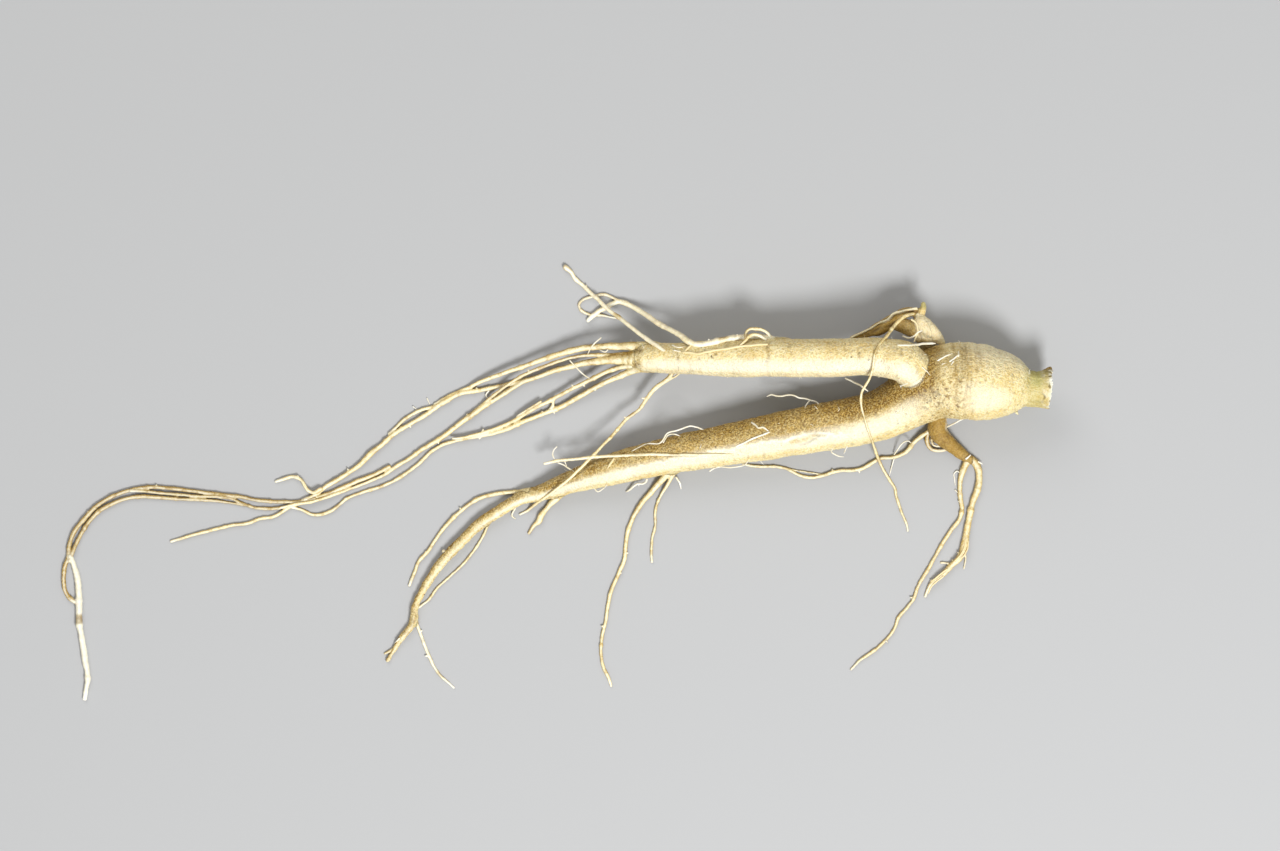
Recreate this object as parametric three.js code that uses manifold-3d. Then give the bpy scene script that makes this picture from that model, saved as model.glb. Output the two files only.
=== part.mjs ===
// A fresh Brazilian ginseng root as dug: a round crown with the cut stub of its stem, two long
// legs that fork from it, a few side roots, and the fine rootlets that each leg frays into.
// It lies on a table. Everything grew as one piece, so it is one closed solid.
// Millimetres, +Z up. The stem points to +X, the origin is on the table under the middle.
import * as THREE from "three";
import { mergeVertices } from "three/addons/utils/BufferGeometryUtils.js";
import Module from "manifold-3d";

// Driving dimensions: the radius of each kind of root.
const CROWN = 9.7; // the crown, where it is widest
const NECK = 4.4; // the stub of the stem, behind its flared cut
const UPPER_LEG = 4.9; // the raised leg, along most of its length
const LOWER_LEG = 6.3; // the leg that rests on the table, near the crown
const STOUT = 1.5; // a root that branches further
const CORD = 0.75; // a long rootlet
const THREAD = 0.5; // a thin rootlet

// How far the table presses a root flat where it lies: this much, or this share of its radius
// if that is less.
const PRESSED = 0.25;
const PRESSED_SHARE = 0.2;

// Facets round a root, and the length of a facet along it, by its radius.
const GRADES = [
  { over: 3, sides: 18, step: 3.5 },
  { over: 1.2, sides: 8, step: 4 },
  { over: 0, sides: 6, step: 7 },
];

// Every root is a route over the table: [x, y, radius, lift], where lift is the clear height
// under it. A route starts inside the root that it grew from. No lift means that it lies down.
const MAIN = {
  crown_and_lower_leg: [
    [123, 23.25, 1.1 * NECK, 5],
    [119.5, 23.25, NECK, 5.3],
    [115.5, 23.5, 1.1 * NECK, 4.9],
    [113, 24, 0.64 * CROWN, 3.6],
    [110, 24.5, 0.84 * CROWN, 1.6],
    [106.5, 24.75, 0.96 * CROWN, 0.4],
    [101.5, 25.25, CROWN],
    [96.5, 25.25, 0.95 * CROWN],
    [90.5, 22.5, 0.82 * CROWN],
    [85.5, 19.5, 0.72 * CROWN],
    [80.5, 17, 1.03 * LOWER_LEG],
    [65.5, 13.75, 0.97 * LOWER_LEG],
    [45.5, 10, 0.84 * LOWER_LEG],
    [26, 6.25, 0.71 * LOWER_LEG],
    [11, 2.5, 0.6 * LOWER_LEG],
    [6, 1, 0.5 * LOWER_LEG],
    [0.5, -1, 0.4 * LOWER_LEG],
    [-4.5, -2.5, 0.3 * LOWER_LEG],
  ],
  upper_leg: [
    [89, 23.5, 0.8 * UPPER_LEG, 5],
    [89.5, 29, UPPER_LEG, 8.6],
    [86.5, 30, 1.1 * UPPER_LEG, 9.2],
    [81, 30.5, 1.04 * UPPER_LEG, 9],
    [68, 31, UPPER_LEG, 7.4],
    [53, 31, 0.98 * UPPER_LEG, 6],
    [45.5, 31, 0.98 * UPPER_LEG, 5.2],
    [35.5, 31, 0.87 * UPPER_LEG, 4.6],
    [28, 31, 0.8 * UPPER_LEG, 4],
    [20.5, 31.25, 0.64 * UPPER_LEG, 3.8],
  ],
};

const SIDE_ROOTS = {
  lower_leg_tail: [
    [-2, -1.75, 2.2],
    [-9, -3.5, 1.6],
    [-14.5, -6, STOUT],
    [-24.5, -14, 1.3],
    [-33, -25.5, 1.15],
    [-36.5, -35, 0.9],
    [-42, -44.5, 0.6],
  ],
  // A short thick root that folds over beside the crown, with a bud on its fold.
  shoulder_root: [
    [92.5, 31, 5.5, 2.5],
    [92, 34, 5.2, 3.5],
    [90.75, 37.5, 4.8, 4],
    [89.5, 40, 3.2, 5.5],
    [89.5, 41.75, STOUT, 7],
  ],
  shoulder_bud: [
    [89, 41, 1.6, 7],
    [90.25, 43, 1.2, 8],
    [91.5, 45, 0.8, 8.8],
  ],
  shoulder_fold: [
    [90, 41.5, 1.6, 7],
    [86.5, 41, 1.9, 6.5],
    [82.5, 39, 1.9, 6],
    [78.5, 36.75, STOUT, 6],
    [73.5, 35, 0.7, 7],
  ],
  // The brown root that leaves the crown on the other side and parts in two.
  branching_root: [
    [95.5, 18, 2.5, 2],
    [95, 13, 2.25, 1],
    [97.5, 10, 2, 0.5],
    [100.5, 7.5, STOUT, 0.2],
    [103, 6, 1.4],
  ],
};

const ROOTLETS = {
  // The branching root's two branches, and the curl and the runner at its base.
  right_branch: [
    [102, 6.5, 1.1],
    [104.5, 4.5, 1.05],
    [104.5, -3, 1],
    [102.5, -12, 1],
    [101.5, -19.5, 0.8],
    [95.5, -23.5, 0.7],
    [92, -28.5, THREAD],
  ],
  left_branch: [
    [103, 6, 1],
    [101.5, 2, 0.95],
    [101, -8, CORD],
    [98, -12, 0.7],
    [91, -25.5, 0.6],
    [85, -36, 0.55],
    [80, -42, THREAD],
    [74, -46.5, 0.4],
  ],
  base_curl: [
    [93.5, 15, 0.7, 1],
    [92.5, 11, 0.6, 0.5],
    [94, 8.5, 0.6],
    [96.5, 8, THREAD, 0.4],
  ],
  base_runner: [
    [93.5, 13.5, 0.9, 2],
    [89.5, 10.5, 0.7, 1],
    [85.5, 7, 0.7],
    [80.5, 6, 0.6],
    [75, 3.5, 0.55],
    [67, 3, 0.55],
    [63.5, 1.5, THREAD],
    [56, 4, 0.45],
    [47, 5.5, 0.45],
  ],
  // It starts on the shoulder's fold and lies over both legs.
  crossing: [
    [89, 42, CORD, 8.5],
    [85.5, 40.5, CORD, 10],
    [82, 36.75, 0.7, 14],
    [78.5, 32.5, 0.6, 18.2],
    [77.5, 26.5, THREAD, 17],
    [75.5, 21.5, 0.55, 14],
    [76.5, 16, THREAD, 12.2],
    [78.5, 11, 0.45, 9.5],
    [80, 5.5, 0.45, 5],
    [82.5, 0.5, THREAD, 1.5],
    [85, -5, THREAD],
    [87.5, -11.5, 0.45],
  ],
  // Rootlets on the far side of the upper leg.
  far_straight: [
    [27.5, 32.5, 1, 4],
    [23, 35.5, CORD, 3],
    [13.5, 43.5, 0.6, 2],
    [8.5, 48, 0.6, 0.8],
    [5, 51, 0.7],
    [2, 54, CORD],
  ],
  far_wavy: [
    [59, 35.5, 1.1, 8],
    [50, 35.75, 0.9, 6],
    [38.5, 35, 1, 5.5],
    [32.5, 35, 1, 4],
    [24.5, 40.5, 0.8, 1],
    [19.5, 44, CORD],
    [16, 45.5, CORD],
    [11, 43.5, CORD],
    [7.5, 40.5, 0.6],
  ],
  far_arch: [
    [53, 35.5, 0.6, 7.5],
    [52, 37.5, 0.6, 8.3],
    [49.5, 38.25, 0.6, 8.5],
    [47.5, 37.25, 0.6, 7.5],
    [46.5, 35.5, 0.6, 6.2],
  ],
  far_loop: [
    [15.5, 45.5, 0.5, 0.2],
    [11.5, 47.25, 0.45, 0.2],
    [8.5, 46.5, 0.45],
    [5.5, 44.75, 0.45],
    [7, 42.5, 0.45],
    [10, 41.5, 0.45],
    [12.5, 43.5, 0.4, 0.4],
  ],
  // From under the upper leg down over the lower one, with a branch.
  bridge: [
    [31, 29.5, 0.7, 5],
    [27.5, 26, 0.6, 4],
    [19.5, 18, THREAD, 3.5],
    [14, 11.5, THREAD, 4.5],
    [8.5, 6, THREAD, 6],
    [4.5, 2, 0.55, 5.4],
    [1, -1.5, 0.6, 4.3],
    [-3, -6, CORD, 1],
    [-5, -9, 0.8],
    [-6.5, -12, THREAD],
  ],
  bridge_root: [
    [29, 29.5, 0.6, 4.6],
    [27, 26, THREAD, 4],
    [22, 20.5, THREAD, 3.6],
  ],
  bridge_branch: [
    [3.5, 0.5, 0.45, 4.4],
    [-0.5, -2.25, 0.45, 3.2],
    [-4.5, -5.5, 0.45, 0.6],
    [-9, -8.5, 0.4],
  ],
  leg_strand: [
    [46, 7, 0.45, 9],
    [35.5, 7, 0.45, 9.1],
    [23, 7, 0.45, 7.7],
    [11, 6.5, 0.45, 6.1],
    [4.5, 6, 0.45, 5.6],
    [-3, 4.5, 0.4, 4.8],
  ],
  // Rootlets of the lower leg.
  tail_outer: [
    [-7, -2.5, 1.1, 0.5],
    [-12, -2.5, CORD],
    [-19, -4, 0.7],
    [-26.5, -9.5, 0.6],
    [-34.5, -19.5, 0.55],
    [-37, -25.5, THREAD],
  ],
  tail_inner: [
    [-15, -7.5, CORD],
    [-17.5, -12, 0.45],
    [-22, -19.5, 0.45],
    [-30, -27, 0.45],
    [-34.5, -31, 0.45],
  ],
  tail_spur: [
    [-36, -32.5, 0.6],
    [-34.5, -37, THREAD],
    [-32, -42.5, 0.55],
    [-30.5, -46, THREAD],
    [-25.5, -51, 0.45],
  ],
  long_drop: [
    [28.5, 3, 1.1, 2],
    [25.5, 0.5, 1, 0.5],
    [22, -3, 0.95],
    [17.5, -11, 0.7],
    [17, -18, 0.7],
    [13.5, -26, 0.7],
    [12.5, -34.5, 0.6],
    [11, -40.5, 0.6],
    [13.5, -50.5, THREAD],
  ],
  short_drop: [
    [29.5, 3, CORD, 2],
    [26.5, -1.5, 0.55, 0.3],
    [24.5, -7, THREAD],
    [23.5, -20, 0.45],
  ],
  // The bundle that the upper leg ends in.
  bundle_top: [
    [23, 33, 1.1, 5.5],
    [20, 34, 0.9, 5.5],
    [14, 34.5, CORD, 4.5],
    [-2, 31.5, CORD, 2.4],
    [-10.5, 28.5, 0.7, 1.8],
    [-23.5, 23, 0.55, 0.9],
  ],
  bundle_trunk: [
    [23, 31.5, 1.6, 4.5],
    [19.5, 32, STOUT, 4],
    [13, 31.5, 1.4, 3],
  ],
  bundle_upper: [
    [14, 32, CORD, 3.5],
    [6, 32, 0.7, 3],
    [-2, 30, 0.7, 2.6],
    [-9.5, 26, 0.7, 2.2],
    [-21.5, 15.5, 0.6, 0.6],
  ],
  bundle_long: [
    [14, 30.5, 0.9, 2.6],
    [6, 30, CORD, 1.4],
    [-3, 27, CORD, 0.6],
    [-11.5, 24.5, CORD],
    [-23.5, 23, CORD],
    [-30, 19, CORD],
    [-36.5, 15.5, 0.7],
    [-49.5, 4, CORD],
    [-56.5, -0.5, 0.8],
    [-65.5, -5, CORD],
  ],
  bundle_middle: [
    [-8.5, 25.25, 0.6, 0.2],
    [-15, 21, CORD, 0.3],
    [-29, 10, 0.8],
    [-44, 0.5, CORD],
    [-53, -2.5, 0.7, 0.6],
    [-65, -5, 0.55, 0.9],
  ],
  bundle_short: [
    [22.5, 29.5, 1, 4],
    [19, 29, 0.8, 3.5],
    [11, 26.5, CORD, 2.2],
    [-4, 19.5, 0.6, 0.8],
    [-18.5, 12.25, THREAD, 0.4],
  ],
  bundle_bottom: [
    [23, 29.5, 1, 3.8],
    [19.5, 27.75, 0.8, 2.8],
    [10.5, 23.5, CORD, 1],
    [3.5, 20, 0.7],
    [-12, 14, 0.7],
    [-26, 11, 0.6],
    [-38, 2, 0.55],
    [-46, -2, 0.55],
    [-53.5, -5, 0.55],
    [-57.5, -7.5, 0.55],
    [-62.5, -7.5, THREAD],
    [-66.5, -6, THREAD, 0.4],
  ],
  bundle_hook: [
    [-60.5, -2.8, 0.6, 0.7],
    [-63, -0.5, 0.55, 1],
    [-65, 1.5, 0.55, 0.6],
    [-67.5, 1.5, THREAD],
    [-70, 0.5, THREAD],
  ],
  // The strands that run on from it to the far end, where they hang together as one.
  far_end_long: [
    [-58.5, -3.5, CORD],
    [-65, -5, CORD],
    [-80.5, -3.5, 0.7],
    [-98, -1.5, 0.6],
    [-110, -3, 0.6],
    [-115, -6.5, 0.6],
    [-118.5, -11, 0.6],
    [-122, -20, 0.7],
  ],
  far_end_middle: [
    [-64, -5, 0.6],
    [-69.5, -6, 0.6],
    [-82, -5, 0.55, 0.4],
    [-106.5, -2, THREAD, 0.4],
  ],
  far_end_twin: [
    [-79, -5.5, THREAD],
    [-86.5, -4, THREAD],
    [-104.5, -3.5, 0.55],
    [-112.5, -6, 0.55],
    [-117, -11.5, 0.55],
    [-120.5, -17.5, 0.55, 0.4],
  ],
  far_end_spur: [
    [-64, -5, 0.6, 0.3],
    [-68, -7, 0.6],
    [-72, -9, 0.55],
    [-78, -10, 0.55],
    [-96.5, -14.5, THREAD],
  ],
  far_end_loop: [
    [-122, -19, 0.6],
    [-124, -25.5, 0.6],
    [-122.5, -28.5, 0.6],
    [-119.5, -30, 0.7, 0.3],
  ],
  far_end_drop: [
    [-121.5, -18.5, CORD],
    [-120, -22, 0.9],
    [-119.5, -35, 0.9],
    [-118, -42.5, 0.9],
    [-117, -48.5, CORD],
    [-118, -54, THREAD],
  ],
};

const wasm = await Module();
wasm.setup();

// Turns a closed three.js geometry into a solid.
function solid(geometry) {
  const bare = geometry.clone();
  bare.deleteAttribute("normal");
  bare.deleteAttribute("uv");
  const merged = mergeVertices(bare, 1e-4);
  return new wasm.Manifold(
    new wasm.Mesh({
      numProp: 3,
      vertProperties: new Float32Array(merged.attributes.position.array),
      triVerts: new Uint32Array(merged.index.array),
    }),
  );
}

// Gives a station of a route its place in space: the root's middle is its radius above what
// it lies on, less the little by which it is pressed flat.
function stationAt([x, y, radius, lift = 0]) {
  const pressed = Math.min(PRESSED, PRESSED_SHARE * radius);
  return { place: new THREE.Vector3(x, y, lift + radius - pressed), radius };
}

// A root is a sphere drawn out along its route: each of the sphere's circles becomes one
// section of the root, and its poles become the ends. The far end is cut square, or pointed
// by a share of its radius. What would be below the table is pressed flat on it.
function root(route, point = 1) {
  const stations = route.map(stationAt);
  const spans = stations.length - 1;
  const line = new THREE.CatmullRomCurve3(
    stations.map(({ place }) => place),
    false,
    "centripetal",
  );
  const girth = new THREE.SplineCurve(
    stations.map(({ radius }, i) => new THREE.Vector2(i, radius)),
  );
  const thickest = Math.max(...stations.map(({ radius }) => radius));
  const { sides, step } = GRADES.find(({ over }) => thickest > over);

  const shares = [];
  for (let i = 0; i < spans; i++) {
    const length = stations[i].place.distanceTo(stations[i + 1].place);
    const pieces = Math.max(1, Math.round(length / step));
    for (let k = 0; k < pieces; k++) shares.push((i + k / pieces) / spans);
  }
  shares.push(1);

  const sections = shares.map((share) => {
    const along = line.getTangent(share);
    const across = new THREE.Vector3(0, 0, 1).cross(along).normalize();
    return {
      middle: line.getPoint(share),
      radius: girth.getPoint(share).y,
      along,
      across,
      up: along.clone().cross(across),
    };
  });
  const [first] = sections;
  const last = sections.at(-1);
  const pole = (section, distance) => ({
    ...section,
    middle: section.middle.clone().addScaledVector(section.along, distance),
    radius: 0,
  });
  const rows = [
    pole(first, 0),
    ...sections,
    pole(last, point * last.radius),
  ];

  const geometry = new THREE.SphereGeometry(1, sides, rows.length - 1);
  const points = geometry.attributes.position;
  const vertex = new THREE.Vector3();
  for (let i = 0; i < points.count; i++) {
    const { middle, radius, across, up } = rows[Math.floor(i / (sides + 1))];
    const angle = (2 * Math.PI * (i % (sides + 1))) / sides;
    vertex.copy(middle);
    vertex.addScaledVector(across, radius * Math.cos(angle));
    vertex.addScaledVector(up, -radius * Math.sin(angle));
    points.setXYZ(i, vertex.x, vertex.y, Math.max(0, vertex.z));
  }
  return solid(geometry);
}

// The whole plant's root, joined in one solid and set over the origin.
function ginsengRoot() {
  const routes = Object.values({ ...MAIN, ...SIDE_ROOTS, ...ROOTLETS });
  const { vertProperties, triVerts } = routes
    .map((route) => root(route))
    .reduce((whole, part) => whole.add(part))
    .getMesh();
  const geometry = new THREE.BufferGeometry();
  geometry.setAttribute(
    "position",
    new THREE.BufferAttribute(vertProperties, 3),
  );
  geometry.setIndex(new THREE.BufferAttribute(triVerts, 1));
  geometry.computeBoundingBox();
  const middle = geometry.boundingBox.getCenter(new THREE.Vector3());
  geometry.translate(-middle.x, -middle.y, 0);
  geometry.computeVertexNormals();
  return geometry;
}

const skin = new THREE.MeshStandardMaterial({
  color: 0xdcc48c,
  roughness: 0.6,
  metalness: 0,
});

const plant = new THREE.Group();
const body = new THREE.Mesh(ginsengRoot(), skin);
body.name = "ginseng_root";
plant.add(body);

export default plant;
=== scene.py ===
"""A fresh Brazilian ginseng root, lying down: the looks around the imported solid.

Every part of the root is a skin grown round routes: a distance field is drawn from them, its
surface is taken as a mesh, and wrinkles, pits and marks are raised on it. Routes are in
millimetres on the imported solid's own lines, and the frame's box places them.
"""

import math
from types import SimpleNamespace

import bpy
import numpy as np
import openvdb
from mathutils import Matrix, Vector, noise
from mathutils.bvhtree import BVHTree


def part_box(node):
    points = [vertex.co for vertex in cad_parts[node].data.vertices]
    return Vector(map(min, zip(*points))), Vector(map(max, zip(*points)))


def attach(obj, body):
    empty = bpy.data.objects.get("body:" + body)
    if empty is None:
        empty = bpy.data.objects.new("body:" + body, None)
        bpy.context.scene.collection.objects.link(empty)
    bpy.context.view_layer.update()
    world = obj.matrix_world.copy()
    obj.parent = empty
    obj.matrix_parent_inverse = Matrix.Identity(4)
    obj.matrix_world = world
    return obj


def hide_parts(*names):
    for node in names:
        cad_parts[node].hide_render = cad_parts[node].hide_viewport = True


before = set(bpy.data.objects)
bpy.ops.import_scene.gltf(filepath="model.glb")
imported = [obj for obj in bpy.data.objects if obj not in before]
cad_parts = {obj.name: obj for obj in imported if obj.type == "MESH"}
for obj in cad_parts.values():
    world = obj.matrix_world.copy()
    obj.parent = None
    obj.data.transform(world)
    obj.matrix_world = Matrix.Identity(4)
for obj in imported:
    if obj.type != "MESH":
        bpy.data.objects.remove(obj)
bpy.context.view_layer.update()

# ---------------------------------------------------------------- sizes, in millimetres

MM = 0.001
CROWN = 9.7
NECK = 4.4
UPPER_LEG = 4.9
LOWER_LEG = 6.3
PRESSED = 0.25
PRESSED_SHARE = 0.2

# The routes have an origin of their own. These are the furthest points that the solid reaches
# on them, which the frame's box then places.
FURTHEST_X = 123.19
FURTHEST_Y = 54.53
low_corner, high_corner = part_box("ginseng_root")
SHIFT = np.array([high_corner.x / MM - FURTHEST_X, high_corner.y / MM - FURTHEST_Y, 0])
LOWEST = np.array(low_corner) / MM - SHIFT
HIGHEST = np.array(high_corner) / MM - SHIFT

# ---------------------------------------------------------------- routes: (x, y, radius, lift)

CROWN_AND_LOWER_LEG = [
    (117.5, 23.4, 0.85 * NECK, 5.7), (115.5, 23.5, 1.07 * NECK, 5), (113, 24, 0.64 * CROWN, 3.6),
    (110, 24.5, 0.84 * CROWN, 1.6), (106.5, 24.75, 0.96 * CROWN, 0.4), (101.5, 25.25, CROWN),
    (96.5, 25.25, 0.95 * CROWN), (90.5, 22.5, 0.82 * CROWN), (85.5, 19.5, 0.72 * CROWN),
    (80.5, 17, 1.03 * LOWER_LEG), (65.5, 13.75, 0.97 * LOWER_LEG), (45.5, 10, 0.84 * LOWER_LEG),
    (26, 6.25, 0.71 * LOWER_LEG), (11, 2.5, 0.6 * LOWER_LEG), (6, 1, 0.5 * LOWER_LEG),
    (0.5, -1, 0.4 * LOWER_LEG), (-4.5, -2.75, 0.31 * LOWER_LEG), (-9, -4, 1.6), (-10.5, -4.75, 1.55),
    (-15, -7.5, 1.4), (-19.5, -10.5, 1.35), (-23.5, -14.5, 1.3), (-27.5, -18.5, 1.3), (-31, -23, 1.15),
    (-33.5, -27, 1), (-35.5, -31.5, 0.95), (-36.25, -35.5, 0.9), (-37.75, -37.5, 0.8), (-40.25, -41, 0.6),
    (-42.25, -44.5, 0.45),
]
UPPER_LEG_ROUTE = [
    (89, 23.5, 0.8 * UPPER_LEG, 5), (88, 28.5, 1.02 * UPPER_LEG, 8.4), (86.5, 29.75, 1.06 * UPPER_LEG, 9.1),
    (81.25, 31, 1.01 * UPPER_LEG, 9), (68, 31, 0.99 * UPPER_LEG, 7.4), (53, 31, 0.98 * UPPER_LEG, 6),
    (45.5, 31, 0.98 * UPPER_LEG, 5.2), (35.5, 31, 0.87 * UPPER_LEG, 4.6), (28, 31, 0.78 * UPPER_LEG, 4),
    (24.5, 31.1, 0.75 * UPPER_LEG, 3.9), (22.6, 31.1, 0.7 * UPPER_LEG, 3.9),
]
NECK_SCALE = [(112.75, 20.5, 1.2, 5), (113.75, 18.6, 0.75, 6), (114.75, 17, 0.3, 6.6)]
STEM = [
    (127, 23.25, 1.12 * NECK, 5), (123, 23.25, 1.1 * NECK, 5), (119.5, 23.25, NECK, 5.3),
    (116.5, 23.5, 1.02 * NECK, 5.1), (112, 24, 0.9 * NECK, 5.4),
]
STEM_SCALE = [(120.5, 26.5, 1, 7.8), (121.8, 27.6, 0.85, 8.4), (122.5, 28.2, 0.65, 9)]
STEM_CUT = 122.75
CUT_TILT = 0.09
DISH_DEPTH = 1.1
SHOULDER = {
    "cone_foot": [
        (92.5, 30.5, 3, 0), (92.6, 33.4, 2.2, 2), (92.6, 36, 2, 5.6), (91.9, 37.9, 2, 7.2),
        (90.6, 40, 1.4, 8.2),
    ],
    "cone_left": [(90.2, 36, 1.3, 6.4), (90.2, 38, 1.6, 7.2), (90, 40, 1.3, 8)],
    "cone_side": [
        (95.8, 35, 0.9, 7.8), (94.9, 35.8, 1.4, 7.2), (93.8, 37.1, 1.7, 7.3), (92.1, 39, 1.6, 7.8),
        (90.2, 41.3, 1.1, 8), (90, 42.25, 0.9, 8),
    ],
    "bud": [(89.9, 41.2, 1.2, 7.4), (90.7, 42.5, 1, 8.2), (91.1, 43.5, 0.74, 8.7), (91.1, 44.3, 0.64, 8.9)],
    "fold": [
        (90.2, 42.4, 1, 7.8), (86.6, 42.1, 1.35, 7.2), (83.6, 40.4, 1.55, 6.6), (80.5, 38.4, 1.6, 6.2),
        (76.7, 37, 0.9, 7), (73.25, 36, 0.4, 8),
    ],
    "lobe": [(88.6, 38.2, 2.1, 6), (86.8, 38.8, 1.9, 6.4), (85, 39.1, 1.4, 6.8), (83.8, 39, 0.9, 7)],
    "fold_edge": [
        (89.4, 43.3, 0.3, 9.4), (87.3, 43, 0.28, 9.4), (86, 42.6, 0.32, 9.4), (83.6, 41.9, 0.36, 9.2),
        (82.4, 40.6, 0.34, 9.2), (80.3, 39.8, 0.24, 8.9), (77.9, 38.3, 0.26, 8.7), (75.4, 37.1, 0.28, 8.7),
        (73.2, 36.1, 0.25, 9.2),
    ],
}
BRANCHING_ROOT = [
    (95.5, 19, 2.3, 2), (95, 15.5, 2.3, 1.7), (95, 13, 2.35, 1), (97, 10.6, 2, 0.6), (99.5, 8.5, 1.65, 0.3),
    (102, 6.5, 1.35), (103.5, 5.5, 1),
]
BRANCHES = {
    "right_branch": [
        (102, 6.5, 1), (104.25, 5.25, 1), (105.25, 3.5, 0.95), (105.5, 1, 0.85), (105, -2, 0.8),
        (104, -4.5, 0.75), (103.25, -8, 0.75), (102.4, -12, 0.8), (101.9, -15.25, 0.85), (100.5, -18.9, 0.85),
        (98.7, -20.6, 0.7), (96.5, -22.9, 0.65), (94.7, -24.3, 0.6), (93.1, -26, 0.5), (92, -28.5, 0.35),
    ],
    "left_branch": [
        (103, 6, 1), (102.25, 4.75, 0.9), (101.4, 2.75, 0.8), (100.75, 0, 0.65), (100.75, -3, 0.6),
        (101.2, -7, 0.55), (100.7, -9, 0.5), (98.7, -11.6, 0.5), (96.5, -15, 0.45), (93.3, -20.7, 0.45),
        (90, -26.6, 0.42), (89, -29.25, 0.42), (87.75, -31, 0.4), (85.25, -34, 0.4), (84.5, -36.25, 0.38),
        (80.25, -41.25, 0.38), (75.25, -44.9, 0.35), (73.5, -46.75, 0.3),
    ],
    "base_curl": [
        (93.6, 13.4, 0.5, 1.4), (92.6, 12, 0.5, 1), (92.5, 10, 0.5, 0.6), (93.6, 8.4, 0.5, 0.4),
        (95.6, 8, 0.45, 0.5), (97.25, 8.25, 0.4, 0.8),
    ],
    "curl_strand": [
        (94, 12.25, 0.35, 1.8), (93.5, 10.75, 0.32, 1.6), (94, 9.4, 0.32, 1.4), (95.5, 9.1, 0.32, 1.4),
        (97, 9.4, 0.3, 1.6),
    ],
    "thin_spur": [(102, -17, 0.3, 0.4), (102.1, -19.3, 0.25, 0.1), (101.7, -21.5, 0.2)],
    "side_spur": [(98.6, -20.4, 0.3, 0.3), (97, -20.1, 0.28, 0.1), (95.9, -20, 0.25)],
}
SIDE_ROOTLETS = {
    "base_runner": [
        (94, 13.5, 0.6, 1.5), (92, 12.25, 0.6, 1), (89.5, 10.4, 0.55, 0.5), (87, 7.5, 0.5, 0.2),
        (84.5, 6.4, 0.48), (80.75, 6, 0.48), (78.75, 5, 0.48), (76.25, 3.5, 0.46), (73.25, 3, 0.45),
        (70.75, 3, 0.45), (65.75, 1.6, 0.42), (63.75, 1.25, 0.4), (61.5, 1.5, 0.38), (57, 3.5, 0.36),
        (54.5, 4, 0.36), (50.75, 4, 0.36), (46.5, 4.6, 0.33),
    ],
    "runner_twin": [(56.5, 3.75, 0.25), (59.5, 3.1, 0.2, 0.1), (63.25, 2.5, 0.2, 0.1), (66.5, 2, 0.22)],
    "crossing": [
        (88.6, 42, 0.42, 9.8), (86.5, 41.4, 0.48, 10.5), (84.9, 40.2, 0.46, 11.5), (83.2, 38.3, 0.42, 13),
        (81.6, 36.2, 0.4, 15), (79.6, 34, 0.36, 17.2), (78.6, 31.6, 0.3, 18.5), (78.2, 28.6, 0.3, 18.1),
        (77.5, 26, 0.32, 16.5), (76.5, 24.2, 0.34, 15.2), (75.6, 22.4, 0.34, 14.2), (75.4, 20.4, 0.34, 13.4),
        (75.8, 18, 0.3, 12.9), (76.6, 15.4, 0.28, 12.8), (77.4, 12.9, 0.28, 12), (78.3, 10.6, 0.3, 9.4),
        (79.4, 7.9, 0.38, 5.6), (80.4, 5.6, 0.38, 2.4), (81.4, 3.5, 0.38, 1), (83.25, 0.4, 0.36),
        (84.5, -1.6, 0.36), (84.75, -3.1, 0.36), (86, -7, 0.34), (87.4, -10.6, 0.32), (87.7, -12.1, 0.28),
    ],
}
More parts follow.
